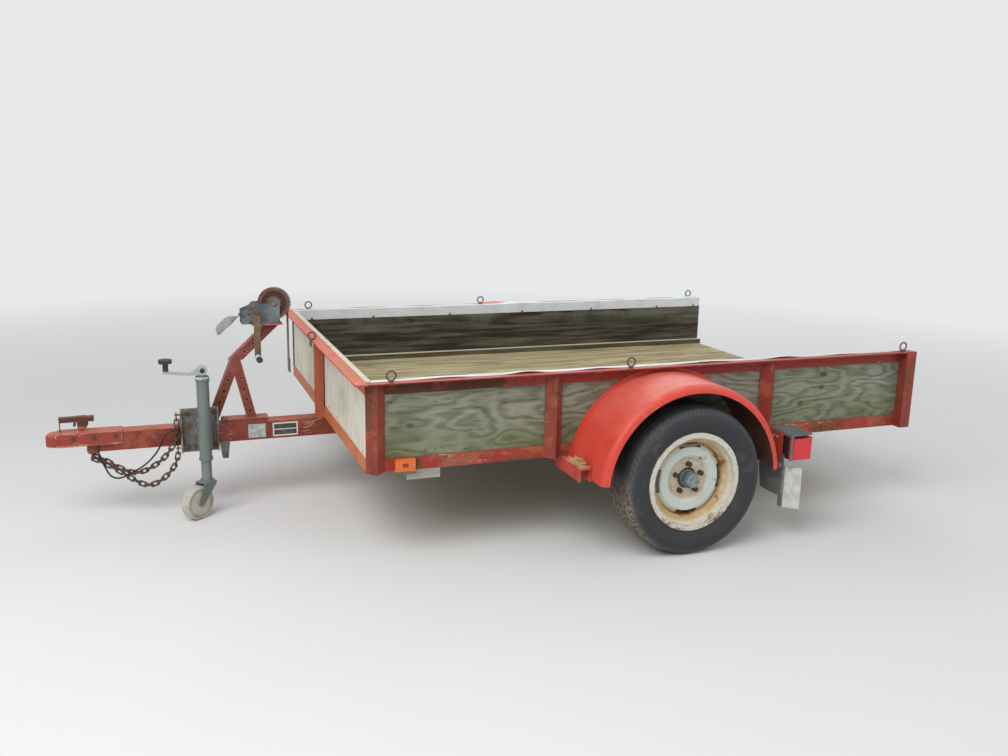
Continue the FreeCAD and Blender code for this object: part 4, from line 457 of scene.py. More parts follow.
def paint(
    name, base, faded, cover=0.3, edges=0.16, fade=0.5, grime=0.35, scale=7.0, rough=0.52, heavy=(),
    second=None, scratched=0.35, rims=None, under=None,
):
    """Old brush or spray paint: faded in patches and paler on upward faces, partly sun-faded and partly a
    painted highlight, grimy, scratched, and rusting from its edges.

    heavy lists (axis, from, to, amount) where rust grows, second is (colour, cover) of another coat,
    rims is (colour, strength) of chalky corners, and under is a point on the line along Y that the
    dirty inner faces look at.
    """
    c = colours()
    material, tree, shader, place = begin(name)
    worn = patches(tree, place, scale * 0.8, 0.42)
    # Upward faces get the paler colour: partly faded paint, partly a painted highlight
    top = top_faces(tree, place, 14)
    fade_and_lit_top = maths(tree, "MAXIMUM", times(tree, worn, fade * 0.55), times(tree, top, fade))
    tone = shade(tree, fade_and_lit_top, base, faded)
    if second:
        other, share = second
        tone = lay(tree, tone, patches(tree, place, scale * 1.7, share, 0.10), other)
    streaks = noise(tree, stretch(tree, place, (9, 9, 2.2)), 3.0, 4.0, 0.6)
    tone = lay(tree, tone, span(tree, streaks, 0.45, 0.75), c.rust_dark, grime)
    tone = lay(tree, tone, scratches(tree, place), c.scratch, scratched)
    if rims:
        chalky, strength = rims
        corner = times(tree, edge_wear(tree, place, 0.006), strength * 2.2)
        tone = lay(tree, tone, maths(tree, "MINIMUM", corner, 1.0), chalky)
    if under:
        tone = dirty_inside(tree, place, tone, under)
    spread = cover
    deep = 0.0
    for axis, low, high, amount in heavy:
        spread = plus(tree, spread, zone(tree, place, axis, low, high, amount))
        deep = plus(tree, deep, zone(tree, place, axis, low, high, max(0.0, amount) * 1.5))
    oxide = rust(tree, place, scale, spread, edges)
    tint = times(tree, oxide["Tint"], less(tree, 1.0, maths(tree, "MINIMUM", deep, 0.72)))
    tone = lay(tree, tone, oxide["Mask"], shade(tree, tint, c.rust_dark, c.rust_pale))
    fine = times(tree, noise(tree, place, 260, 3.0, 0.6), 0.12)
    finish(
        tree, shader, plus(tree, oxide["Height"], fine), 0.55, 0.0016,
        Base_Color=tone, Roughness=span(tree, oxide["Mask"], 0, 1, rough, 0.92), Specular_IOR_Level=0.35,
    )
    return material


def rim_paint(name):
    """White rim with a stained ochre trough, a bluish disc and rust at the outer lip."""
    c = colours()
    material, tree, shader, place = begin(name)
    reach = radius_from(tree, place, WHEEL)
    stain = noise(tree, place, 16, 4.0, 0.62)
    speck = noise(tree, place, 90, 4.0, 0.65)
    tone = shade(tree, span(tree, speck, 0.40, 0.75), c.rim_white, toned(c.rim_white, 0.72))
    disc = band(tree, reach, (0.086, 0.094), (0.136, 0.132))
    tone = lay(tree, tone, disc, c.disc_white)
    trough = band(tree, reach, (0.133, 0.140), (0.174, 0.160))
    hub_stain = span(tree, reach, 0.088, 0.078, 0.0, 0.45)
    stained = maths(tree, "MAXIMUM", trough, hub_stain)
    soil = times(tree, stained, span(tree, stain, 0.28, 0.50, 0.15, 1.0))
    tone = lay(tree, tone, soil, c.ochre)
    lip = span(tree, reach, 0.166, 0.185)
    low = zone(tree, place, "Z", WHEEL.z - 0.03, WHEEL.z - 0.13, 0.34)
    spread = plus(tree, times_plus(tree, trough, 0.16, 0.27), times(tree, lip, low))
    oxide = rust(tree, place, 15, spread, 0.24)
    lip_rust = shade(tree, oxide["Tint"], c.rust_dark, toned(c.rust_pale, 1.25))
    tone = lay(tree, tone, oxide["Mask"], lip_rust)
    finish(
        tree, shader, plus(tree, oxide["Height"], times(tree, speck, 0.2)), 0.5, 0.0012,
        Base_Color=tone, Roughness=span(tree, soil, 0, 1, 0.48, 0.85), Specular_IOR_Level=0.35,
    )
    return material


def hub_metal(name):
    """Dark rusty nuts and flange round a chrome cap with a painted blue-grey sky reflection and a dark seam.
    """
    c = colours()
    material, tree, shader, place = begin(name)
    reach = radius_from(tree, place, WHEEL)
    out = maths(tree, "ABSOLUTE", part_of(tree, place, "Y"))
    cap = times(tree, span(tree, reach, 0.040, 0.036), span(tree, out, 1.062, 1.068))
    speck = noise(tree, place, 60, 4.0, 0.62)
    # Painted reflection: the blue-grey tones stand for sky seen in the chrome cap
    black, reflection_dark, reflection_light = (0.030, 0.024, 0.020), (0.125, 0.170, 0.195), (0.28, 0.34, 0.36)
    steel = shade(tree, span(tree, speck, 0.35, 0.68), black, toned(c.rust_pale, 0.42))
    cap_sky_reflection = shade(tree, span(tree, speck, 0.35, 0.70), reflection_dark, reflection_light)
    tone = shade(tree, cap, steel, cap_sky_reflection)
    seam = band(tree, out, (1.084, 1.086), (1.090, 1.088))
    tone = lay(tree, tone, seam, (0.03, 0.03, 0.03), cap)
    finish(
        tree, shader, speck, 0.4, 0.0012,
        Base_Color=tone, Roughness=span(tree, cap, 0, 1, 0.85, 0.5), Metallic=times(tree, cap, 0.35),
    )
    return material


def shade_inside(tree, place, tone, light, blotch, axis):
    """Painted shade on the faces toward the bed: dark streaky colour, with paler patches along the top."""
    c = colours()
    streak = noise(tree, stretch(tree, place, (2.5, 2.5, 42)), 1.0, 4.0, 0.62)
    inner_shade = shade(tree, span(tree, streak, 0.42, 0.66), c.inner_shade_dark, c.inner_shade_light)
    pale = times(tree, zone(tree, place, "Z", 0.56, 0.64), span(tree, blotch, 0.44, 0.56))
    inner_shade = lay(tree, inner_shade, pale, toned(light, 0.55), 0.5)
    # The faces toward the bed get the painted shade
    return lay(tree, tone, inner_face(tree, place, axis), inner_shade)


def plank_seams(tree, place, tone, start, pitch):
    """Dark gaps between planks that lie along X."""
    turns = times(tree, less(tree, part_of(tree, place, "Y"), start), 1 / pitch)
    from_middle = maths(tree, "ABSOLUTE", less(tree, maths(tree, "FRACT", turns), 0.5))
    shadow = (0.03, 0.024, 0.015)
    return lay(tree, tone, span(tree, from_middle, 0.484, 0.491), shadow, 0.8)


def batten(tree, place, tone, top):
    """A painted highlight on the top and painted shade on the face of the batten along the wall's foot."""
    c = colours()
    soft, foot = 0.001, top - 0.019
    up = part_of(tree, face_normal(tree), "Z")
    # Painted highlight on the batten's upward faces
    edge = times(tree, zone(tree, place, "Z", top, top + soft), span(tree, up, 0.4, 0.6))
    tone = lay(tree, tone, edge, c.sill_highlight)
    # Painted shade on the batten's upright face
    face = times(tree, zone(tree, place, "Z", foot, foot + soft), span(tree, up, 0.6, 0.4))
    return lay(tree, tone, face, c.inner_shade_dark, 0.85)


def board(
    name, light, dark, moss=0.3, rings=(1.1, 4, 4.5), fibres=(9, 120, 120), count=60.0, knots=(), figure=0.6,
    inside=None, low_moss=None, sill=None, seams=None,
):
    """Weathered wood or plywood.

    inside is the axis along which a face toward the bed gets painted shade, low_moss is (from, to,
    amount) of the film's height, sill is a batten's top and seams is (start, pitch) of the planks.
    """
    c = colours()
    material, tree, shader, place = begin(name)
    wood = wood_figure(tree, place, rings, count, fibres)
    fibre, blotch = wood["Fibre"], wood["Blotch"]
    lines = times_plus(tree, wood["Figure"], figure, times(tree, fibre, 1 - figure * 0.5))
    lines = span(tree, lines, 0.22, 0.95)
    tone = shade(tree, lines, dark, light)
    film = times(tree, span(tree, blotch, 0.42, 0.66), moss)
    if low_moss:
        damp_foot = times(tree, zone(tree, place, "Z", *low_moss), span(tree, blotch, 0.30, 0.55))
        film = maths(tree, "MAXIMUM", film, damp_foot)
    tone = lay(tree, tone, film, shade(tree, lines, toned(c.moss, 0.6), c.moss))
    tone = lay(tree, tone, span(tree, blotch, 0.44, 0.30), toned(dark, 0.55), 0.45)
    # Painted shade on the faces toward the bed
    if inside:
        tone = shade_inside(tree, place, tone, light, blotch, inside)
    depth = lines
    for centre, radius in knots:
        spot = knot(tree, place, centre, radius)
        tone = lay(tree, tone, spot, toned(dark, 0.45), 0.85)
        depth = less(tree, depth, times(tree, spot, 0.5))
    if seams:
        tone = plank_seams(tree, place, tone, *seams)
    if sill:
        tone = batten(tree, place, tone, sill)
    split = span(tree, fibre, 0.34, 0.29)
    crack = (0.012, 0.010, 0.008)
    tone = lay(tree, tone, split, crack, 0.5)
    finish(
        tree, shader, less(tree, depth, times(tree, split, 1.2)), 0.55, 0.0012,
        Base_Color=tone, Roughness=span(tree, lines, 0, 1, 0.95, 0.78), Specular_IOR_Level=0.2,
    )
    return material


def bare_metal(name, base, stain, metallic=0.5, rough=0.45, cover=0.25, scale=9.0):
    """Zinc plate, galvanised sheet or bare steel with dull spots and rust."""
    c = colours()
    material, tree, shader, place = begin(name)
    cells = put(tree, "TexVoronoi", {"Vector": place, "Scale": 120}, out="Color")
    glint = part_of(tree, cells, "X")
    dull = patches(tree, place, scale, 0.5, 0.25)
    tone = lay(tree, base, glint, toned(base, 1.35), 0.18)
    tone = lay(tree, tone, dull, stain, 0.7)
    oxide = rust(tree, place, scale * 1.3, cover, 0.1)
    tone = lay(tree, tone, oxide["Mask"], shade(tree, oxide["Tint"], c.rust_dark, c.rust_pale))
    bright = less(tree, 1.0, oxide["Mask"])
    shine = times(tree, bright, times_plus(tree, dull, -metallic * 0.5, metallic))
    matt = maths(tree, "MAXIMUM", times_plus(tree, dull, 0.2, rough), times(tree, oxide["Mask"], 0.9))
    relief = plus(tree, oxide["Height"], times(tree, noise(tree, place, 180, 3.0), 0.15))
    finish(tree, shader, relief, 0.5, 0.0012, Base_Color=tone, Metallic=shine, Roughness=matt)
    return material


shared = {}


def rusty_steel():
    """The rusty steel of the eyes, bolts and nuts, made once."""
    if "rusty_steel" not in shared:
        dark = (0.12, 0.085, 0.07)
        shared["rusty_steel"] = bare_metal(
            "rusty_steel", dark, colours().rust_dark, metallic=0.4, rough=0.6, cover=0.55, scale=34,
        )
    return shared["rusty_steel"]


def tyre_marks(tree, place, base, dirt, tone, height):
    """Fine ribs and a worn shoulder, rings near the rim, and dirt caked low on the front."""
    ribs, rings = 300, 900
    upright = stretch(tree, place, (1, 1, 1), at=(-WHEEL.x, -WHEEL.z, 0), turn=(math.radians(90), 0, 0))
    around = put(tree, "TexGradient", {0: upright}, out=1, gradient_type="RADIAL")
    reach = radius_from(tree, place, WHEEL)
    wave = maths(tree, "SINE", times(tree, around, math.tau * ribs))
    ribbed = band(tree, reach, (0.270, 0.274), (0.2905, 0.2885))
    height = times_plus(tree, times(tree, wave, ribbed), 0.8, height)
    ring = maths(tree, "SINE", times(tree, reach, rings))
    height = times_plus(tree, times(tree, ring, span(tree, reach, 0.258, 0.246)), 0.12, height)
    ridge = times(tree, span(tree, wave, 0, 1), ribbed)
    tone = lay(tree, tone, ridge, toned(base, 3.0), 0.40)
    shoulder = band(tree, reach, (0.262, 0.272), (0.2935, 0.288))
    tone = lay(tree, tone, shoulder, toned(base, 2.4), 0.35)
    ahead = zone(tree, place, "X", WHEEL.x + 0.10, WHEEL.x + 0.22)
    below = zone(tree, place, "Z", WHEEL.z + 0.06, WHEEL.z - 0.08)
    clods = span(tree, noise(tree, place, 70, 4.0, 0.7), 0.42, 0.50)
    on_tread = times(tree, span(tree, reach, 0.272, 0.284), clods)
    caked = times(tree, times(tree, ahead, below), on_tread)
    tone = lay(tree, tone, caked, dirt, 0.9)
    return tone, times_plus(tree, caked, 1.5, height)


def rubber(name, base, dirt, wheel=False):
    """Black rubber with dry dirt; a tyre also gets its ribs, rings and caked dirt."""
    material, tree, shader, place = begin(name)
    dusty = patches(tree, place, 11, 0.35, 0.22)
    tone = lay(tree, base, dusty, dirt, 0.42)
    height = times(tree, noise(tree, place, 300, 3.0), 0.25)
    if wheel:
        tone, height = tyre_marks(tree, place, base, dirt, tone, height)
    finish(
        tree, shader, height, 0.6, 0.0015,
        Base_Color=tone, Roughness=span(tree, dusty, 0, 1, 0.78, 0.95), Specular_IOR_Level=0.35,
    )
    return material


def lens(name, tint):
    """Moulded lamp lens with fine ribs across it."""
    material, tree, shader, place = begin(name)
    rib_pitch, dust_film = 420.0, (0.45, 0.36, 0.28)
    rib = maths(tree, "SINE", times(tree, part_of(tree, place, "Z"), rib_pitch))
    film = patches(tree, place, 30, 0.3)
    tone = shade(tree, span(tree, rib, -1, 1, 0.0, 0.16), tint, toned(tint, 0.45))
    tone = lay(tree, tone, film, dust_film, 0.25)
    finish(
        tree, shader, rib, 0.2, 0.0006, Base_Color=tone, Roughness=span(tree, film, 0, 1, 0.16, 0.5),
        Coat_Weight=0.6, Coat_Roughness=0.08,
    )
    return material


def plain(name, base, second, scale=40.0, rough=0.5, metallic=0.0):
    """Moulded plastic or dull paint with a little mottling."""
    material, tree, shader, place = begin(name)
    mottle = patches(tree, place, scale, 0.45)
    worn = span(tree, mottle, 0, 1, rough, min(1.0, rough + 0.2))
    finish(
        tree, shader, noise(tree, place, 420, 2.0), 0.15, 0.0008,
        Base_Color=shade(tree, mottle, base, second), Roughness=worn, Metallic=metallic,
    )
    return material


def woven(name, base, dark, along="XY", pitch=1500.0):
    """Flat dirty webbing with a fine rib along two axes."""
    material, tree, shader, place = begin(name)
    first = maths(tree, "SINE", times(tree, part_of(tree, place, along[0]), pitch))
    second = maths(tree, "SINE", times(tree, part_of(tree, place, along[1]), pitch * 1.6))
    weave = times(tree, first, second)
    dirt = patches(tree, place, 26, 0.5)
    tone = lay(tree, base, dirt, dark, 0.65)
    tone = lay(tree, tone, span(tree, weave, -1, 1, 0.0, 0.3), dark)
    finish(
        tree, shader, weave, 0.5, 0.0006, Base_Color=tone, Roughness=span(tree, weave, -1, 1, 0.95, 0.8),
        Sheen_Weight=0.25, Specular_IOR_Level=0.15,
    )
    return material


def by_zone(name, first, second, axis, edge, rough=0.55, metallic=0.0, scale=30.0, soft=0.0008):
    """Two mottled finishes on one piece, parted at a place along one axis."""
    material, tree, shader, place = begin(name)
    speck = noise(tree, place, scale, 4.0, 0.62)
    grade = span(tree, speck, 0.36, 0.66)
    part = zone(tree, place, axis, edge - soft, edge + soft)
    tone = shade(tree, part, shade(tree, grade, *first), shade(tree, grade, *second))
    worn = span(tree, speck, 0.3, 0.7, rough, min(1.0, rough + 0.25))
    finish(tree, shader, speck, 0.35, 0.001, Base_Color=tone, Roughness=worn, Metallic=metallic)
    return material


def gear_finish(name):
    """Brown rusty gear whose recess is almost black and whose teeth are dark."""
    material, tree, shader, place = begin(name)
    reach = radius_from(tree, place, DRUM)
    speck = noise(tree, place, 85, 4.0, 0.65)
    brown, rusty, hollow_dark, dark_brown = (
        (0.085, 0.036, 0.028), (0.235, 0.095, 0.070), (0.026, 0.016, 0.014), (0.05, 0.028, 0.022),
    )
    tone = shade(tree, span(tree, speck, 0.34, 0.66), brown, rusty)
    hollow = band(tree, reach, (0.0305, 0.0325), (0.0525, 0.0500))
    # The hollow between the hub and the gear ring is made almost black
    tone = lay(tree, tone, hollow, hollow_dark, 0.8)
    teeth = span(tree, reach, 0.0636, 0.0650)
    tone = lay(tree, tone, teeth, dark_brown, 0.5)
    worn = span(tree, speck, 0.3, 0.7, 0.55, 0.9)
    finish(tree, shader, speck, 0.4, 0.0012, Base_Color=tone, Roughness=worn, Metallic=0.15)
    return material


def flap_shade_finish(name):
    """Off-white sheet painted dull grey as shade, with the outer strip in the sheet's own off-white."""
    material, tree, shader, place = begin(name)
    strip = zone(tree, place, "X", FLAP_STRIP_EDGE, FLAP_STRIP_EDGE - 0.001)
    speck = noise(tree, place, 28, 4.0, 0.6)
    grade = span(tree, speck, 0.36, 0.64)
    # Painted shade: the dull grey stands for the off-white sheet in the shade of the tyre and fender
    sheet = shade(tree, grade, (0.115, 0.118, 0.115), (0.20, 0.20, 0.185))
    white = shade(tree, grade, (0.62, 0.64, 0.62), (0.48, 0.48, 0.44))
    tone = shade(tree, strip, sheet, white)
    finish(tree, shader, speck, 0.3, 0.001, Base_Color=tone, Roughness=span(tree, speck, 0.3, 0.7, 0.5, 0.8))
    return material


def plate_finish(name):
    """Two blank plates: a dusty pale one, and a dark one with a pale border and bar."""
    material, tree, shader, place = begin(name)
    across, up = part_of(tree, place, "X"), part_of(tree, place, "Z")
    speck = noise(tree, place, 60, 4.0, 0.6)
    grade = span(tree, speck, 0.36, 0.64)
    pale = shade(tree, grade, (0.46, 0.52, 0.50), (0.30, 0.33, 0.29))
    bar_height, between_plates = 0.326, (0.899, 0.901)
    wide = band(tree, across, (0.7815, 0.7822), (0.8785, 0.8778))
    tall = band(tree, up, (0.3015, 0.3022), (0.3505, 0.3498))
    beside_bar = span(tree, maths(tree, "ABSOLUTE", less(tree, up, bar_height)), 0.0016, 0.0024)
    field = times(tree, times(tree, wide, tall), beside_bar)
    black = shade(tree, grade, (0.03, 0.03, 0.032), (0.10, 0.09, 0.08))
    dark = shade(tree, field, (0.66, 0.67, 0.66), black)
    tone = shade(tree, span(tree, across, *between_plates), dark, pale)
    worn = span(tree, speck, 0.3, 0.7, 0.35, 0.7)
    finish(tree, shader, speck, 0.2, 0.0005, Base_Color=tone, Roughness=worn, Metallic=0.1)
    return material


def dress(material, *names):
    """Gives CAD nodes a material through their slots."""
    for name in names:
        node = nodes[name]
        if not node.data.materials:
            node.data.materials.append(material)
        node.material_slots[0].link = "OBJECT"
        node.material_slots[0].material = material


def coat(name, parts, base, faded, **wear):
    """Paints the CAD nodes whose names are given in one line."""
    dress(paint(name, base, faded, **wear), *parts.split())


# Meshes


def show(name, data, body):
    """Places a finished mesh or curve as a piece that rides on a body."""
    piece = bpy.data.objects.new(name, data)
    bpy.context.scene.collection.objects.link(piece)
    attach(piece, body)
    return piece


def finish_piece(name, form, body, material, sharp=35.0):
    """Turns a bmesh into a smooth piece, with edges over the sharp angle kept."""
    bmesh.ops.remove_doubles(form, verts=form.verts, dist=1e-6)
    mesh = bpy.data.meshes.new(name)
    form.to_mesh(mesh)
    form.free()
    mesh.materials.append(material)
    mesh.polygons.foreach_set("use_smooth", [True] * len(mesh.polygons))
    mesh.set_sharp_from_angle(angle=math.radians(sharp))
    return show(name, mesh, body)


def rounded_edges(form, edges, width, steps=2):
    bmesh.ops.bevel(
        form, geom=list(edges), offset=width, offset_type="OFFSET", segments=steps, profile=0.5,
        affect="EDGES", clamp_overlap=True, material=-1,
    )


def edges_of(made):
    return {edge for vert in made["verts"] for edge in vert.link_edges}


def bends(edge, angle):
    """Whether an edge joins two faces that meet at more than an angle."""
    return len(edge.link_faces) == 2 and edge.calc_face_angle(0) > angle


def slab(form, low, high, round_by):
    """A box between two corners with rounded edges."""
    low, high = Vector(low), Vector(high)
    place = Matrix.Translation((low + high) / 2) @ Matrix.Diagonal((*(high - low), 1))
    made = bmesh.ops.create_cube(form, size=1, matrix=place)
    rounded_edges(form, edges_of(made), round_by)


def facing(axis):
    """A turn that takes +Z to this direction."""
    return Vector(axis).normalized().to_track_quat("Z", "Y").to_matrix().to_4x4()


def round_bar(form, start, end, radius, end_radius=None, sides=24, soften=0.0):
    """A bar, cone or prism from one point to another."""
    start, end = Vector(start), Vector(end)
    place = Matrix.Translation((start + end) / 2) @ facing(end - start)
    made = bmesh.ops.create_cone(
        form, cap_ends=True, segments=sides, radius1=radius,
        radius2=radius if end_radius is None else end_radius, depth=(end - start).length, matrix=place,
    )
    if soften:
        rounded_edges(form, {edge for edge in edges_of(made) if bends(edge, 1.0)}, soften)


def bolt(form, at, axis, across, tall, washer, shank=0.0):
    """A washer, a chamfered hexagon head and, where it shows, the thread's end."""
    sunk, thick, overlap = 0.0006, 0.0018, 0.0002
    axis = Vector(axis).normalized()
    at = Vector(at) - axis * sunk
    top = thick + tall
    round_bar(form, at, at + axis * thick, across / 2 * washer, sides=20, soften=0.0004)
    head = across / 2 * 1.08
    round_bar(form, at + axis * (thick - overlap), at + axis * top, head, sides=6, soften=across * 0.05)
    if shank:
        start, end = at + axis * (top - 0.0005), at + axis * (top + shank)
        round_bar(form, start, end, across * 0.3, sides=12, soften=0.0005)


def nut(form, at, axis, across, tall):
    bolt(form, at, axis, across, tall, washer=1.35, shank=tall * 0.5)


def nail(form, at, axis, across):
    """A small round head, barely proud."""
    at, axis = Vector(at), Vector(axis).normalized()
    round_bar(form, at - axis * 0.0006, at + axis * 0.0009, across / 2, across / 2 * 0.7, sides=10)


def spun(form, corners, centre, steps, axis="Y", closed=False):
    """Spins a row of (radius, along) corners round the axis Y or Z through centre."""
    centre = Vector(centre)
    along_y = axis == "Y"
    turn = (0, 1, 0) if along_y else (0, 0, 1)
    offsets = [Vector((r, a, 0)) if along_y else Vector((r, 0, a)) for r, a in corners]
    verts = [form.verts.new(centre + offset) for offset in offsets]
    pairs = list(zip(verts, verts[1:])) + ([(verts[-1], verts[0])] if closed else [])
    edges = [form.edges.new(pair) for pair in pairs]
    bmesh.ops.spin(
        form, geom=verts + edges, cent=centre, axis=turn, angle=math.tau, steps=steps, use_merge=True,
    )
    bmesh.ops.remove_doubles(form, verts=form.verts, dist=1e-6)
    bmesh.ops.recalc_face_normals(form, faces=form.faces)


def extruded(form, edges):
    """Extrudes a row of edges and returns the new edges and vertices."""
    made = bmesh.ops.extrude_edge_only(form, edges=edges)["geom"]
    fresh = [item for item in made if isinstance(item, bmesh.types.BMEdge)]
    return fresh, [item for item in made if isinstance(item, bmesh.types.BMVert)]


def sheet_wall(form, thick):
    """Gives an open sheet its thickness."""
    bmesh.ops.recalc_face_normals(form, faces=form.faces)
    bmesh.ops.solidify(form, geom=list(form.faces), thickness=thick)


def ribbon(form, line, thick):
    """A flat strip along (centre, half-width vector) stations, closed at its ends."""
    across = (-1, -0.5, 0, 0.5, 1)
    centre, half = line[0]
    row = [form.verts.new(centre + half * step) for step in across]
    edges = [form.edges.new(pair) for pair in zip(row, row[1:])]
    for centre, half in line[1:]:
        edges, fresh = extruded(form, edges)
        row = sorted(fresh, key=lambda vert: (vert.co - row[0].co).length)
        for vert, step in zip(row, across):
            vert.co = centre + half * step
    sheet_wall(form, thick)


def smooth_line(name, points, radius, material, steps, round_steps):
    """A round curve that follows the points smoothly."""
    line = bpy.data.curves.new(name, "CURVE")
    line.dimensions = "3D"
    line.resolution_u = steps
    line.bevel_depth = radius
    line.bevel_resolution = round_steps
    line.use_fill_caps = True
    route = line.splines.new("NURBS")
    route.points.add(len(points) - 1)
    for point, where in zip(route.points, points):
        point.co = (*where, 1)
    route.order_u = 3
    route.use_endpoint_u = True
    line.materials.append(material)
    return line


def wire(name, points, radius, material):
    """A short bent wire on the chassis."""
    show(name, smooth_line(name, points, radius, material, 6, 3), "chassis")


# Stage


def add_floor(look):
    """A pale floor that fades into the backdrop far from the trailer."""
    below = Matrix.Translation((0, 0, cad_box[0][2] - 0.0005))
    form = bmesh.new()
    bmesh.ops.create_grid(form, x_segments=2, y_segments=2, size=40, matrix=below)
    mesh = bpy.data.meshes.new("floor")
    form.to_mesh(mesh)
    form.free()
    floor = bpy.data.objects.new("floor", mesh)
    bpy.context.scene.collection.objects.link(floor)
    material, tree, shader, place = begin("floor")
    tone = shade(tree, noise(tree, place, 3.0, 3.0), look.floor, toned(look.floor, 0.97))
    for key, value in (("Base Color", tone), ("Roughness", 0.9), ("Specular IOR Level", 0.1)):
        feed(tree, shader.inputs[key], value)
    far = vector_maths(tree, "LENGTH", stretch(tree, place, (1, 1, 0)), out="Value")
    glow = put(tree, "Emission", {"Color": (*look.backdrop, 1), "Strength": 1})
    fading = times(tree, put(tree, "LightPath", out="Is Camera Ray"), span(tree, far, 2.6, 7.0))
    floor_look = put(tree, "MixShader", {0: fading, 1: shader.outputs[0], 2: glow})
    tree.links.new(floor_look, tree.nodes["Material Output"].inputs["Surface"])
    mesh.materials.append(material)


def add_camera():
    """The photo's camera, as fitted to the trailer's edges."""
    place = (1.3732, 4.1402, 1.4656)
    yaw, pitch, roll = (math.radians(value) for value in (-110.77, 12.507, 1.2105))
    level = Vector((math.cos(yaw), math.sin(yaw), 0))
    ahead = level * math.cos(pitch) - Vector((0, 0, math.sin(pitch)))
    right = Vector((math.sin(yaw), -math.cos(yaw), 0))
    up = right.cross(ahead)
    side = right * math.cos(roll) + up * math.sin(roll)
    top = up * math.cos(roll) - right * math.sin(roll)
    data = bpy.data.cameras.new("camera")
    data.lens = 34.29
    data.sensor_width = 36
    data.clip_end = 200
    camera = bpy.data.objects.new("camera", data)
    turned = Matrix((side, top, -ahead)).transposed().to_4x4()
    camera.matrix_world = Matrix.Translation(place) @ turned
    bpy.context.scene.collection.objects.link(camera)
    bpy.context.scene.camera = camera


def add_lamps(look):
    """Three large soft lamps that look at the trailer's middle."""
    middle = Vector((-0.2, 0, 0.4))
    for name, at, strength, size in (
        ("key_lamp", (3.2, 3.4, 4.6), look.key, 4.0),
        ("fill_lamp", (-3.8, 4.2, 3.2), look.fill, 4.5),
        ("back_lamp", (-2.5, -4.5, 3.8), look.fill, 4.5),
    ):
        data = bpy.data.lights.new(name, "AREA")
        data.shape = "SQUARE"
        data.size = size
        data.energy = strength
        lamp = bpy.data.objects.new(name, data)
        lamp.matrix_world = Matrix.Translation(at) @ facing(Vector(at) - middle)
        bpy.context.scene.collection.objects.link(lamp)


def add_sky(look):
    """Even light, with the plain backdrop where the camera or a reflection sees past the floor."""
    scene = bpy.context.scene
    scene.world = scene.world or bpy.data.worlds.new("world")
    scene.world.use_nodes = True
    tree = scene.world.node_tree
    tree.nodes.clear()
    even = put(tree, "Background", {"Color": (1, 1, 1, 1), "Strength": look.sky})
    seen = put(tree, "Background", {"Color": (*look.backdrop, 1), "Strength": 1})
    path = tree.nodes.new("ShaderNodeLightPath").outputs
    mirrored = maths(tree, "MAXIMUM", path["Is Glossy Ray"], path["Is Transmission Ray"])
    direct = maths(tree, "MAXIMUM", path["Is Camera Ray"], mirrored)
    both = put(tree, "MixShader", {0: direct, 1: even, 2: seen})
    put(tree, "OutputWorld", {"Surface": both})
    scene.view_settings.view_transform = "Standard"


class TRAILER_OT_stage(bpy.types.Operator):
    """Lay the pale floor and set the camera and the soft lamps"""

    bl_idname = "trailer.stage"
    bl_label = "Stage"

    def execute(self, context):
        look = context.scene.trailer_stage
        add_floor(look)
        add_camera()
        add_lamps(look)
        add_sky(look)
        return {"FINISHED"}


# Frame and boards


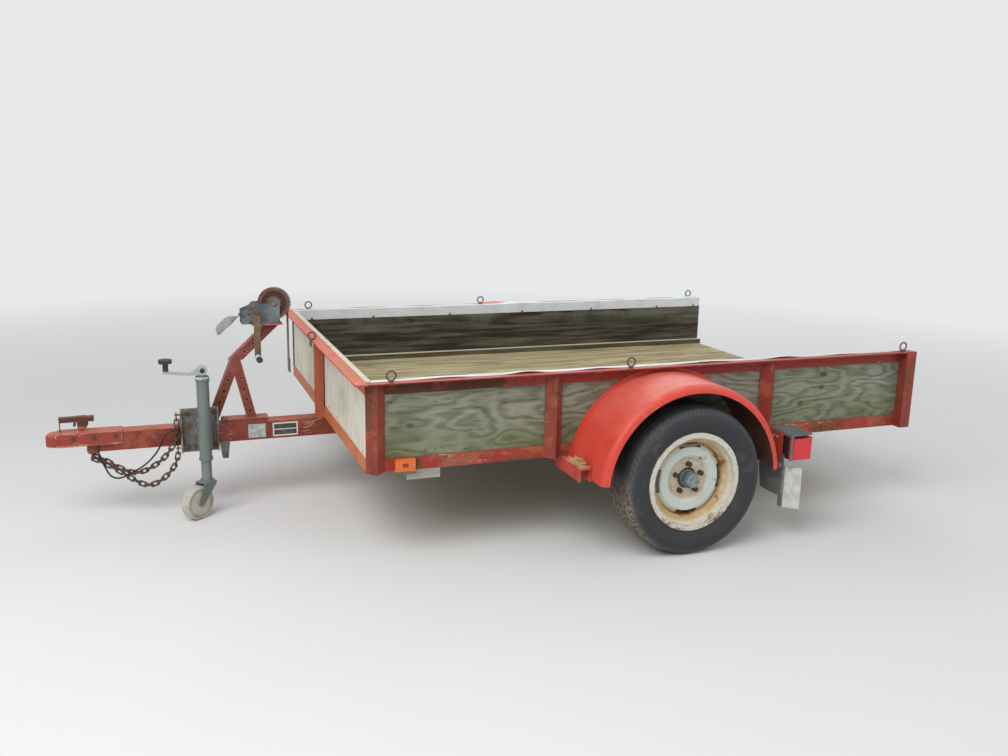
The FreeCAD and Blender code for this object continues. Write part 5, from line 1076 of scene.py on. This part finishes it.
class TRAILER_OT_frame_paint(bpy.types.Operator):
    """Paint the rails, posts, fenders, tongue and undercarriage"""

    bl_idname = "trailer.frame_paint"
    bl_label = "Frame paint"

    def execute(self, context):
        c = context.scene.trailer_colours
        red = c.faded_red
        coat(
            "rail_paint", "side_top_rails", c.frame_red, red, cover=0.30, fade=0.45, grime=0.55,
            heavy=(("X", 0.00, 0.20, 0.48), ("Z", 0.7005, 0.7045, -0.7)),
        )
        coat(
            "low_rail_paint", "side_lower_rails", toned(c.frame_red, 1.1), c.orange_red, cover=0.46,
            fade=0.5, scratched=0.8, grime=0.5, second=((0.36, 0.095, 0.045), 0.55),
        )
        coat(
            "post_paint", "side_posts", (0.25, 0.040, 0.026), red, cover=0.38, fade=0.3, grime=0.6,
            heavy=(("X", 0.621, 0.627, 0.30), ("Z", 0.56, 0.46, -0.34)), second=((0.34, 0.075, 0.035), 0.40),
        )
        coat(
            "front_paint", "end_rails", c.orange_red, red, cover=0.30, fade=0.45,
            second=((0.40, 0.085, 0.035), 0.35),
        )
        coat("mid_post_paint", "front_post", (0.36, 0.080, 0.030), red, cover=0.32, fade=0.3, grime=0.5)
        coat(
            "front_top_paint", "front_top_rail", (0.58, 0.080, 0.050), red, cover=0.25, fade=0.7,
            edges=0.24, second=((0.54, 0.17, 0.060), 0.52), scratched=0.9,
        )
        coat("arm_paint", "fender_arms", (0.50, 0.055, 0.030), red, cover=0.24, fade=0.6)
        coat(
            "fender_paint", "fenders", c.fender_red, red, cover=0.15, edges=0.12, fade=0.75, grime=0.16,
            scale=5, rough=0.42, scratched=0.22, under=WHEEL,
        )
        coat(
            "tongue_paint", "tongue_tube", c.tongue_red, (0.50, 0.150, 0.085), cover=0.36, fade=0.75,
            edges=0.24, scratched=0.7, rims=(red, 0.5), heavy=(("X", 1.24, 1.30, -0.10),),
            second=((0.30, 0.072, 0.036), 0.42),
        )
        coat(
            "coupler_paint", "coupler_body", (0.30, 0.046, 0.028), (0.62, 0.175, 0.110), cover=0.36,
            fade=0.65, edges=0.2, rims=((0.66, 0.44, 0.32), 0.9), scratched=0.6, grime=0.5,
            heavy=(("Z", 0.388, 0.394, 0.7),),
        )
        coat("latch_paint", "coupler_latch chain_bracket", c.rust_dark, c.rust_pale, cover=0.62, fade=0.6)
        coat(
            "stand_paint", "winch_stand", c.stand_red, red, cover=0.38, fade=0.45, edges=0.10, grime=0.6,
            rims=((0.62, 0.44, 0.36), 0.30), heavy=(("X", 1.02, 1.12, 0.30),),
            second=((0.40, 0.062, 0.048), 0.34),
        )
        coat("bracket_paint", "lamp_brackets", (0.50, 0.060, 0.035), red, cover=0.40, fade=0.5)
        coat(
            "underside", "axle_beam leaf_springs spring_clamps spring_hangers", (0.06, 0.03, 0.022),
            c.rust_pale, cover=0.55, fade=0.4,
        )
        return {"FINISHED"}


class TRAILER_OT_boards(bpy.types.Operator):
    """Finish the boards, planks and blocks, and the strip on the front wall"""

    bl_idname = "trailer.boards"
    bl_label = "Boards"

    def execute(self, context):
        c = context.scene.trailer_colours
        spots = (
            (0.493, 0.532, 0.0125), (-1.333, 0.6206, 0.017), (-1.3266, 0.564, 0.013),
            (-1.222, 0.500, 0.015),
        )
        knots = [((x, BOARD_FACE, z), radius) for x, z, radius in spots]
        # inside gives the faces toward the bed painted shade
        side = board(
            "side_board", c.wall_light, c.wall_dark, moss=0.46, rings=(2.6, 8, 8.5), fibres=(22, 130, 130),
            count=70, figure=0.42, knots=knots, inside=(0, 1, 0), low_moss=(0.56, 0.46, 0.75),
        )
        front = board(
            "front_board", c.front_light, c.front_dark, moss=0.05, rings=(4, 5, 1.1), fibres=(160, 160, 9),
            figure=0.22, inside=(1, 0, 0),
        )
        planks = board(
            "floor_plank", c.plank_light, c.plank_dark, moss=0.16, rings=(0.9, 9, 9), count=34, figure=0.38,
            fibres=(5, 110, 110), sill=FLOOR_BATTEN_TOP, seams=(PLANK_EDGE, PLANK_PITCH),
        )
        # The block's colour is partly its own grey-green and partly painted shade
        block = board("grey_shaded_block", toned(c.front_light, 0.5), toned(c.front_dark, 0.42), moss=0.35)
        dress(side, "side_panels")
        dress(front, "front_panels")
        dress(planks, "floor_planks")
        # The floor beams under the bed take the painted shade colours of the inner faces
        dress(board("beam", c.inner_shade_light, c.inner_shade_dark, moss=0.15), "floor_beams")
        dress(block, "wood_blocks")
        dress(plain("cream_strip", c.cream, (0.42, 0.36, 0.27), 14, 0.6), "front_trim")
        return {"FINISHED"}


# Trims and eye bolts


def wave_trims(form, start, end, lift_by):
    """Lifts the sheets' outer edge in long and short waves that die out at the ends."""
    inside_foot, rail_edge = 0.682, 0.849
    for vert in form.verts:
        x, y, z = vert.co
        side = 1 if y > 0 else -1
        long_wave = 0.5 + 0.5 * math.sin(x * 6.1 + side * 1.3)
        short_wave = 0.5 + 0.5 * math.sin(x * 16.7 + side * 0.6 + math.sin(x * 5.0))
        lift = lift_by * (0.25 + 0.75 * long_wave) * short_wave ** 2
        fall = min(1.0, (x - start) / 0.05, (end - x) / 0.05)
        along = max(0.0, (z - inside_foot) / 0.024)
        out = max(0.0, (abs(y) - rail_edge) / 0.035)
        vert.co.z = z + lift * fall * (0.35 * along + 0.65 * out)
        vert.co.y = y - side * 0.0012 * fall * math.sin(x * 31.0 + side) * (1 - along)


class TRAILER_OT_trims(bpy.types.Operator):
    """Build the loose wavy sheets over the side walls' edges, with their screws"""

    bl_idname = "trailer.trims"
    bl_label = "Trims"

    def execute(self, context):
        sheet = bare_metal(
            "galvanised_trim", (0.66, 0.69, 0.72), (0.50, 0.52, 0.54), metallic=0.25, rough=0.42, cover=0.08,
        )
        start, end, steps = -1.774, 0.638, 150
        profile = (
            (0.8486, 0.6575), (0.8484, 0.682), (0.8488, 0.7058), (0.8600, 0.7064), (0.8725, 0.7064),
            (0.8838, 0.7062),
        )
        form = bmesh.new()
        for side in SIDES.values():
            verts = [form.verts.new((start, side * y, z)) for y, z in profile]
            edges = [form.edges.new(pair) for pair in zip(verts, verts[1:])]
            for _ in range(steps):
                edges, moved = extruded(form, edges)
                bmesh.ops.translate(form, verts=moved, vec=((end - start) / steps, 0, 0))
        wave_trims(form, start, end, context.scene.trailer_sizes.trim_wave)
        sheet_wall(form, 0.0009)
        trims = finish_piece("wavy_trims", form, "chassis", sheet, sharp=28)
        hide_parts("side_trims")

        inside, height = 0.8482, 0.6625
        form = bmesh.new()
        for side in SIDES.values():
            for x in (0.560, 0.234, -0.193, -0.620, -1.050, -1.480, -1.730):
                at = (x, side * inside, height)
                bolt(form, at, (0, -side, 0), across=0.008, tall=0.0022, washer=1.5)
        frame_steel = bpy.data.materials["rusty_steel"]
        finish_piece("trim_screws", form, "chassis", frame_steel)
        return {"FINISHED"}


class TRAILER_OT_eyes(bpy.types.Operator):
    """Finish the eye bolts and the ring, and add the eyes' nuts"""

    bl_idname = "trailer.eyes"
    bl_label = "Eye bolts"

    def execute(self, context):
        rusty = rusty_steel()
        dress(rusty, "eye_bolts", "rail_ring")
        rail_middle, rail_top = 0.8945, 0.7045
        form = bmesh.new()
        for side in SIDES.values():
            for x in (0.569, -0.386, -1.719):
                nut(form, (x, side * rail_middle, rail_top), (0, 0, 1), across=0.013, tall=0.0045)
        finish_piece("eye_nuts", form, "chassis", rusty)
        return {"FINISHED"}


# Winch, with its outlines as (radius, along the shaft)

DRUM_OUTLINE = (
    (0.0004, -0.0500), (0.0072, -0.0500), (0.0080, -0.0492), (0.0080, -0.0350), (0.0570, -0.0350),
    (0.0580, -0.0342), (0.0580, -0.0325), (0.0570, -0.0315), (0.0240, -0.0315), (0.0240, 0.0270),
    (0.0630, 0.0270), (0.0640, 0.0278), (0.0640, 0.0352), (0.0630, 0.0360), (0.0540, 0.0360),
    (0.0520, 0.0352), (0.0505, 0.0322), (0.0490, 0.0312), (0.0310, 0.0312), (0.0295, 0.0325),
    (0.0285, 0.0352), (0.0270, 0.0360), (0.0080, 0.0360), (0.0080, 0.0492), (0.0072, 0.0500),
    (0.0004, 0.0500),
)
STRAP_OUTLINE = (
    (0.0245, -0.0305), (0.0480, -0.0305), (0.0495, -0.0290), (0.0500, -0.0040), (0.0497, 0.0170),
    (0.0480, 0.0195), (0.0245, 0.0195),
)
BOSS_OUTLINE = (
    (0.0003, 0.0500), (0.0062, 0.0500), (0.0062, 0.0452), (0.0150, 0.0452), (0.0156, 0.0458),
    (0.0156, 0.0488), (0.0150, 0.0495), (0.0110, 0.0500), (0.0105, 0.0520), (0.0062, 0.0525),
    (0.0003, 0.0525),
)


def add_drum():
    """The drum with its toothed gear, and the strap wound on it."""
    s = sizes()
    c = colours()
    gear_y, tooth_middle, tip_from = 0.0315, 0.0662, 0.0665
    tooth_size = (0.0072, 0.0088, 0.0035)
    form = bmesh.new()
    spun(form, DRUM_OUTLINE, DRUM, steps=72)
    gear = Matrix.Translation(DRUM + Vector((0, gear_y, 0)))
    blank = Matrix.Translation((tooth_middle, 0, 0)) @ Matrix.Diagonal((*tooth_size, 1))
    for tooth in range(s.gear_teeth):
        turn = Matrix.Rotation(math.tau * tooth / s.gear_teeth, 4, "Y")
        made = bmesh.ops.create_cube(form, size=1, matrix=gear @ turn @ blank)
        tips = [vert for vert in made["verts"] if (vert.co - DRUM).xz.length > tip_from]
        bmesh.ops.scale(form, verts=tips, vec=(1, 0.9, 1), space=gear.inverted())
    drum = finish_piece("toothed_drum", form, "drum", gear_finish("gear_rust"), sharp=32)
    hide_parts("winch_drum")
    # The wound strap gets the painted shade colour of the webbing
    roll = woven("shaded_roll", c.shaded_webbing, (0.05, 0.05, 0.035))
    form = bmesh.new()
    spun(form, STRAP_OUTLINE, DRUM, steps=72, closed=True)
    finish_piece("wound_strap", form, "drum", roll, sharp=50)


def add_winch_bolts():
    """The nuts on the drum's shaft, the frame's bolts and the crank's boss."""
    rusty = rusty_steel()
    bright = bare_metal("drum_bolt", (0.34, 0.33, 0.31), (0.16, 0.15, 0.13), cover=0.30, scale=40)
    plate_face, shaft_end = 0.0438, 0.0442
    form = bmesh.new()
    for side in (1, -1):
        nut(form, DRUM + Vector((0, side * shaft_end, 0)), (0, side, 0), across=0.0135, tall=0.0042)
    finish_piece("drum_nuts", form, "drum", bright)
    form = bmesh.new()
    for x, z in ((0.990, 0.826), (0.969, 0.835), (0.845, 0.800), (0.960, 0.800)):
        for side in (1, -1):
            bolt(form, (x, side * plate_face, z), (0, side, 0), across=0.0095, tall=0.0034, washer=1.3)
    finish_piece("winch_bolts", form, "chassis", rusty)
    form = bmesh.new()
    spun(form, BOSS_OUTLINE, CRANK, steps=40)
    nut(form, CRANK + Vector((0, CRANK_HUB_END, 0)), (0, 1, 0), across=0.015, tall=0.004)
    finish_piece("crank_boss", form, "crank", rusty)


def add_wires():
    """The two wire ties, and the weld marks where the tongue goes under the front rail."""
    black = plain("wire_black", (0.018, 0.018, 0.019), (0.05, 0.045, 0.04), 60, 0.6)
    weld = plain("weld_bead", (0.42, 0.30, 0.22), (0.10, 0.06, 0.04), 60, 0.6)
    proud = TONGUE_FACE + 0.0004
    nose = (
        (0.996, 0.030, 0.832), (1.003, 0.033, 0.839), (1.009, 0.032, 0.834), (1.005, 0.031, 0.828),
        (0.996, 0.028, 0.826),
    )
    arc = (
        (0.742, TONGUE_FACE, 0.337), (0.728, proud, 0.345), (0.716, proud, 0.347), (0.704, proud, 0.354),
        (0.690, proud, 0.357), (0.672, TONGUE_FACE, 0.361),
    )
    tail = (
        (0.706, TONGUE_FACE, 0.351), (0.712, proud, 0.340), (0.724, proud, 0.330),
        (0.741, TONGUE_FACE, 0.324),
    )
    base = (
        (1.088, 0.030, 0.381), (1.100, 0.038, 0.388), (1.092, 0.044, 0.396), (1.074, 0.042, 0.389),
        (1.070, 0.034, 0.380),
    )
    wire("nose_wire", nose, 0.0024, black)
    wire("weld_arc", arc, 0.0014, weld)
    wire("weld_tail", tail, 0.0014, weld)
    wire("base_wire", base, 0.0020, black)


class TRAILER_OT_winch(bpy.types.Operator):
    """Build the winch's toothed drum, strap roll and bolts, and finish its frame and crank"""

    bl_idname = "trailer.winch"
    bl_label = "Winch"

    def execute(self, context):
        add_drum()
        add_winch_bolts()
        frame_reds = ((0.40, 0.075, 0.065), (0.58, 0.17, 0.14))
        frame_greys = ((0.070, 0.080, 0.088), (0.200, 0.225, 0.235))
        crank_darks = ((0.045, 0.036, 0.024), (0.11, 0.08, 0.05))
        crank_browns = ((0.105, 0.070, 0.034), (0.20, 0.135, 0.065))
        grip_whites = ((0.62, 0.61, 0.58), (0.70, 0.69, 0.66))
        grip_blacks = ((0.02, 0.02, 0.022), (0.04, 0.04, 0.04))
        plates = by_zone("winch_plates", frame_reds, frame_greys, "Z", 0.7912, metallic=0.15, scale=16)
        crank = by_zone("crank_steel", crank_darks, crank_browns, "Z", 0.700, scale=26, soft=0.02)
        dress(plates, "winch_frame")
        dress(crank, "winch_crank")
        dress(by_zone("grip_plastic", grip_whites, grip_blacks, "Y", 0.128, rough=0.4), "winch_grip")
        add_wires()
        return {"FINISHED"}


# Jack and small hardware


class TRAILER_OT_jack(bpy.types.Operator):
    """Finish the jack and its mount, and add their ring, bolt and nuts"""

    bl_idname = "trailer.jack"
    bl_label = "Jack"

    def execute(self, context):
        c = context.scene.trailer_colours
        coat(
            "mount_paint", "jack_mount", (0.150, 0.165, 0.165), (0.36, 0.37, 0.35), cover=0.42, fade=0.6,
            edges=0.15, grime=0.5, scale=12, rims=((0.52, 0.46, 0.40), 0.9),
            second=((0.060, 0.050, 0.042), 0.40),
        )
        coat(
            "jack_paint", "jack_tube caster_fork", c.grey_paint, toned(c.grey_paint, 1.7), cover=0.10,
            fade=0.5, grime=0.2,
        )
        leg = bare_metal("jack_leg_zinc", (0.22, 0.25, 0.24), (0.14, 0.15, 0.14), cover=0.2)
        dress(leg, "jack_leg")
        crank = bare_metal("jack_crank_zinc", (0.42, 0.44, 0.43), (0.28, 0.30, 0.28), 0.45, cover=0.12)
        dress(crank, "jack_crank")

        neck_x, neck_half, neck_z = 1.169, 0.0112, 0.6225
        form = bmesh.new()
        for side in (1, -1):
            at = (neck_x, JACK.y + side * neck_half, neck_z)
            bolt(form, at, (0, side, 0), across=0.013, tall=0.004, washer=1.6)
        dark = plain("dark_bolt", (0.03, 0.03, 0.03), (0.09, 0.07, 0.05), 60, 0.55, 0.3)
        finish_piece("handle_bolt", form, "handle", dark)
        ring = (
            (0.0254, 0.588), (0.0275, 0.588), (0.0279, 0.5885), (0.0279, 0.5965), (0.0272, 0.5975),
            (0.0254, 0.5975),
        )
        form = bmesh.new()
        spun(form, ring, JACK, steps=48, axis="Z", closed=True)
        pale = plain("ring_grey", (0.44, 0.47, 0.45), (0.28, 0.30, 0.28))
        finish_piece("tube_ring", form, "jack", pale)
        across, mount_face = context.scene.trailer_sizes.mount_nut, 0.0438
        form = bmesh.new()
        for x in (1.124, 1.234):
            for z in (0.424, 0.278):
                nut(form, (x, mount_face, z), (0, 1, 0), across, tall=0.006)
        finish_piece("mount_nuts", form, "chassis", rusty_steel())
        dress(plain("knob_black", (0.018, 0.019, 0.022), (0.05, 0.05, 0.05), 30, 0.55), "jack_knob")
        return {"FINISHED"}


class TRAILER_OT_hardware(bpy.types.Operator):
    """Add the coupler's bolts and the nails of the boards and planks"""

    bl_idname = "trailer.hardware"
    bl_label = "Bolts and nails"

    def execute(self, context):
        rust_dark = context.scene.trailer_colours.rust_dark
        dark = bare_metal("dark_bolts", (0.06, 0.045, 0.04), rust_dark, 0.3, 0.7, cover=0.6, scale=40)
        channel_bolts, channel_face, channel_z = (1.6755, 1.5995, 1.5155), 0.0488, 0.352
        latch_bolts, latch_face, latch_z = (1.622, 1.668), 0.0118, 0.398
        form = bmesh.new()
        for x in channel_bolts:
            for side in (1, -1):
                at = (x, side * channel_face, channel_z)
                bolt(form, at, (0, side, 0), across=0.012, tall=0.004, washer=1.5)
        for x in latch_bolts:
            for side in (1, -1):
                at = (x, side * latch_face, latch_z)
                bolt(form, at, (0, side, 0), across=0.009, tall=0.003, washer=1.3)
        finish_piece("coupler_bolts", form, "chassis", dark)

        low_row = (0.434, 0.398, 0.190, 0.098, 0.053, -1.140, -1.420, -1.700)
        high_row = (0.610, 0.300, 0.020, -1.170, -1.500, -1.720)
        front_row = (0.80, 0.55, 0.30, 0.12, -0.12, -0.30, -0.55, -0.80)
        floor_beams = (0.560, 0.150, -0.300, -0.800, -1.250, -1.700)
        planks, front_face = 12, 0.6540
        form = bmesh.new()
        for side in SIDES.values():
            for row, z, across in ((low_row, 0.436, 0.0075), (high_row, 0.640, 0.0055)):
                for x in row:
                    nail(form, (x, side * BOARD_FACE, z), (0, side, 0), across)
        for y in front_row:
            nail(form, (front_face, y, 0.430), (1, 0, 0), across=0.0060)
        for x in floor_beams:
            for plank in range(planks):
                for shift in (-0.035, 0.035):
                    y = FIRST_PLANK + PLANK_PITCH * plank + shift
                    nail(form, (x, y, PLANK_TOP), (0, 0, 1), across=0.0065)
        finish_piece("board_nails", form, "chassis", dark)
        return {"FINISHED"}


class TRAILER_OT_straw(bpy.types.Operator):
    """Scatter the dry straw that lies on the fender arms"""

    bl_idname = "trailer.straw"
    bl_label = "Straw"

    def execute(self, context):
        c = context.scene.trailer_colours
        dry = plain("dry_straw", c.straw, toned(c.straw, 0.30), 120, 0.85)
        heap_x, heap_y, arm_top, heap_tall = -0.1275, 0.992, 0.3655, 0.026
        draw = random.Random(7)
        for side_name, side in SIDES.items():
            form = bmesh.new()
            for _ in range(context.scene.trailer_sizes.straw_blades):
                spread = draw.gauss(0, 0.30)
                y = side * (heap_y + 0.058 * max(-1, min(1, spread * 1.6)))
                x = heap_x + 0.017 * max(-1, min(1, draw.gauss(0, 0.5)))
                heap = max(0.0, 1 - abs(abs(y) - heap_y) / 0.062) * heap_tall
                at = Vector((x, y, arm_top + draw.random() * heap))
                turn = draw.random() * math.tau
                tilt = draw.gauss(0, 0.22)
                reach = 0.008 + draw.random() * 0.016
                flat = Vector((math.cos(turn) * 0.7, math.sin(turn), 0)) * math.cos(tilt)
                ahead = (flat + Vector((0, 0, math.sin(tilt)))) * reach
                tail, head = at - ahead, at + ahead
                for end in (tail, head):
                    end.z = max(end.z, arm_top + 0.0003)
                round_bar(form, tail, head, 0.0011 + draw.random() * 0.0010, 0.0004, sides=5)
            finish_piece(f"straw_{side_name}", form, "chassis", dry)
        return {"FINISHED"}


# Wheels


def tyre_outline(deep):
    """A tyre's section as (radius, from the middle), with grooves this deep."""
    top, shoulder = TYRE_RADIUS, TYRE_RADIUS - 0.0007
    half = [
        (top, 0.0), (top, 0.0135), (top - deep, 0.0150), (top - deep, 0.0195), (0.2946, 0.0210),
        (shoulder, 0.0400), (shoulder - deep, 0.0415), (shoulder - deep, 0.0465), (0.2934, 0.0480),
        (0.2915, 0.0660), (0.2890, 0.0755), (0.2840, 0.0825), (0.2760, 0.0880), (0.2660, 0.0925),
        (0.2560, 0.0955), (0.2470, 0.0968), (0.2380, 0.0960), (0.2280, 0.0930), (0.2180, 0.0885),
        (0.2090, 0.0840), (0.2025, 0.0815), (0.1985, 0.0790), (0.1975, 0.0740),
    ]
    return [(radius, -along) for radius, along in reversed(half[1:])] + half


class TRAILER_OT_wheels(bpy.types.Operator):
    """Build the tyres with their tread, and finish the rims, hubs and caster"""

    bl_idname = "trailer.wheels"
    bl_label = "Wheels"

    def execute(self, context):
        c = context.scene.trailer_colours
        s = context.scene.trailer_sizes
        black = rubber("tyre_rubber", c.rubber, c.dust, wheel=True)
        white = rim_paint("rim_paint")
        steel = hub_metal("hub_steel")
        for side, sign in SIDES.items():
            form = bmesh.new()
            spun(form, tyre_outline(s.tread_depth), WHEEL + Vector((0, sign * WHEEL_Y, 0)), s.tread_steps)
            tyre = finish_piece(f"tyre_skin_{side}", form, f"wheel_{side}", black, sharp=50)
            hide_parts(f"tyre_{side}")
            dress(white, f"rim_{side}")
            dress(steel, f"hub_{side}")
        dress(plain("caster_tread", (0.50, 0.48, 0.42), (0.30, 0.27, 0.21), 26, 0.6), "caster_wheel")
        return {"FINISHED"}


# Lamps, flaps and plates


class TRAILER_OT_lamps(bpy.types.Operator):
    """Finish the lamps, hoods, mud flaps and plates, with their screws"""

    bl_idname = "trailer.lamps"
    bl_label = "Lamps, flaps and plates"

    def execute(self, context):
        c = context.scene.trailer_colours
        dress(lens("amber_lens", c.amber), "marker_lamps")
        dress(lens("red_lens", c.lens_red), "lamp_lenses")
        dress(plain("lamp_black", (0.022, 0.022, 0.024), (0.06, 0.055, 0.05), 30), "tail_lamps")
        dress(plain("hood_grey", (0.11, 0.13, 0.14), (0.20, 0.22, 0.23), 20, 0.45), "lamp_hoods")
        # The flaps' grey is painted shade
        dress(flap_shade_finish("flap_painted_shade"), "mud_flaps")
        dress(plate_finish("blank_plates"), "tongue_plates")

        steel = bare_metal("lamp_steel", (0.40, 0.40, 0.38), (0.20, 0.18, 0.15), scale=30)
        marker_face, marker_middle, ahead = 0.8898, (0.516, 0.390), (1, 0, 0)
        form = bmesh.new()
        for side in SIDES.values():
            edge_bolt, across_strip = (-0.9950, side * 1.1223, 0.324), (0.555, side * 0.832, 0)
            bolt(form, (FLAP_FACE, side * 1.0885, 0.316), ahead, across=0.011, tall=0.004, washer=2.2)
            bolt(form, edge_bolt, across_strip, across=0.012, tall=0.004, washer=2.0)
            for x in (marker_middle[0] - 0.0315, marker_middle[0] + 0.0315):
                nail(form, (x, side * marker_face, marker_middle[1]), (0, side, 0), across=0.0065)
            for y in (1.012, 1.034, 1.056):
                bolt(form, (FLAP_FACE, side * y, 0.424), ahead, across=0.009, tall=0.003, washer=1.4)
        finish_piece("lamp_screws", form, "chassis", steel)

        form = bmesh.new()
        for side in SIDES.values():
            near, far = sorted((side * 0.8893, side * 0.8912))
            slab(form, (0.5055, near, 0.3825), (0.5265, far, 0.3975), 0.0005)
        dark = plain("amber_dark", toned(c.amber, 0.30), toned(c.amber, 0.55), 60, 0.4)
        finish_piece("marker_squares", form, "chassis", dark)
        return {"FINISHED"}


# Straps, chains and cord


def strap_stations():
    """The loose strap's middle line and half-width, as it sags and twists away from the winch."""
    steps = 20
    for step in range(steps + 1):
        share = step / steps
        sag = 0.026 * share + 0.042 * share ** 2.2
        centre = Vector((0.9975 + 0.100 * share, 0.002 * math.sin(share * 6), 0.8235 - sag))
        turn = math.radians(58) * min(1.0, share * 2.2)
        taper = 1 - 0.35 * max(0.0, share - 0.9) / 0.1
        half = (0.0170 + 0.0105 * min(1.0, share * 1.8)) * taper
        lean = Vector((0.30, 0, 0.95)) * math.sin(turn) + Vector((0, 1, 0)) * math.cos(turn)
        yield centre, lean.normalized() * half


class TRAILER_OT_straps(bpy.types.Operator):
    """Build the strap's loose end and finish the strap that hangs from the drum"""

    bl_idname = "trailer.straps"
    bl_label = "Straps"

    def execute(self, context):
        c = context.scene.trailer_colours
        pale = woven("pale_strap", c.webbing, (0.30, 0.30, 0.33), along="XZ", pitch=2600)
        form = bmesh.new()
        ribbon(form, list(strap_stations()), 0.0018)
        strip = finish_piece("strap_end", form, "chassis", pale, sharp=60)
        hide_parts("winch_strap")
        # The hanging tail gets the painted shade colour of the webbing
        dress(woven("shaded_strap", c.shaded_webbing, (0.05, 0.05, 0.035), along="ZY"), "winch_tail")
        return {"FINISHED"}


class TRAILER_OT_chains(bpy.types.Operator):
    """Round the square links of the CAD's chains"""

    bl_idname = "trailer.chains"
    bl_label = "Safety chains"

    def execute(self, context):
        form = bmesh.new()
        form.from_mesh(nodes["safety_chains"].data)
        bmesh.ops.remove_doubles(form, verts=form.verts, dist=1e-5)
        bmesh.ops.join_triangles(form, faces=form.faces, angle_face_threshold=0.1, angle_shape_threshold=3.1)
        bar = min(edge.calc_length() for edge in form.edges)
        short = [edge for edge in form.edges if edge.calc_length() < bar * 1.05]
        corners = [edge for edge in short if edge.calc_face_angle(0) > 1]
        outer = [edge for edge in corners if edge.is_convex]
        inner = [edge for edge in corners if not edge.is_convex]
        rounded_edges(form, outer, 0.0085, 3)
        rounded_edges(form, [edge for edge in inner if edge.is_valid], 0.0045)
        sharp = [edge for edge in form.edges if bends(edge, 1.2)]
        rounded_edges(form, sharp, context.scene.trailer_sizes.link_round)
        links = bare_metal(
            "chain_rust", (0.10, 0.072, 0.055), (0.045, 0.035, 0.028), 0.4, 0.6, cover=0.5, scale=34,
        )
        chains = finish_piece("chain_links", form, "chassis", links, sharp=60)
        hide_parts("safety_chains")
        return {"FINISHED"}


class TRAILER_OT_cord(bpy.types.Operator):
    """Hang the wiring lead under the tongue"""

    bl_idname = "trailer.cord"
    bl_label = "Wiring lead"

    def execute(self, context):
        points = [
            (1.2625, 0.0665, 0.364), (1.297, 0.0665, 0.364), (1.326, 0.065, 0.340), (1.346, 0.064, 0.294),
            (1.378, 0.062, 0.248), (1.420, 0.060, 0.212), (1.466, 0.058, 0.190), (1.508, 0.055, 0.168),
            (1.545, 0.052, 0.180), (1.562, 0.049, 0.222), (1.584, 0.046, 0.268), (1.584, 0.046, 0.317),
        ]
        black = rubber("lead_rubber", (0.02, 0.02, 0.021), (0.12, 0.09, 0.06))
        lead = show("wiring_lead", smooth_line("wiring_lead", points, 0.0035, black, 8, 4), "chassis")
        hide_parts("wiring_cord")
        return {"FINISHED"}


class TRAILER_PT_looks(bpy.types.Panel):
    """The trailer's pieces and finishes"""

    bl_idname = "TRAILER_PT_looks"
    bl_label = "Trailer"
    bl_space_type = "VIEW_3D"
    bl_region_type = "UI"
    bl_category = "Trailer"

    def draw(self, context):
        for step in steps:
            self.layout.operator(step.bl_idname)
        for name in groups:
            box = self.layout.box()
            group = getattr(context.scene, name)
            for key in group.__annotations__:
                box.prop(group, key)


groups = {"trailer_colours": TrailerColours, "trailer_sizes": TrailerSizes, "trailer_stage": TrailerStage}
steps = (
    TRAILER_OT_stage, TRAILER_OT_frame_paint, TRAILER_OT_boards, TRAILER_OT_trims, TRAILER_OT_eyes,
    TRAILER_OT_winch, TRAILER_OT_jack, TRAILER_OT_hardware, TRAILER_OT_straw, TRAILER_OT_wheels,
    TRAILER_OT_lamps, TRAILER_OT_straps, TRAILER_OT_chains, TRAILER_OT_cord,
)
classes = (*groups.values(), *steps, TRAILER_PT_looks)


def register():
    for item in classes:
        bpy.utils.register_class(item)
    for name, group in groups.items():
        setattr(bpy.types.Scene, name, PointerProperty(type=group))


def unregister():
    for name in groups:
        delattr(bpy.types.Scene, name)
    for item in reversed(classes):
        bpy.utils.unregister_class(item)


def main():
    register()
    for step in steps:
        getattr(bpy.ops.trailer, step.bl_idname.removeprefix("trailer."))()


if __name__ == "__main__":
    main()
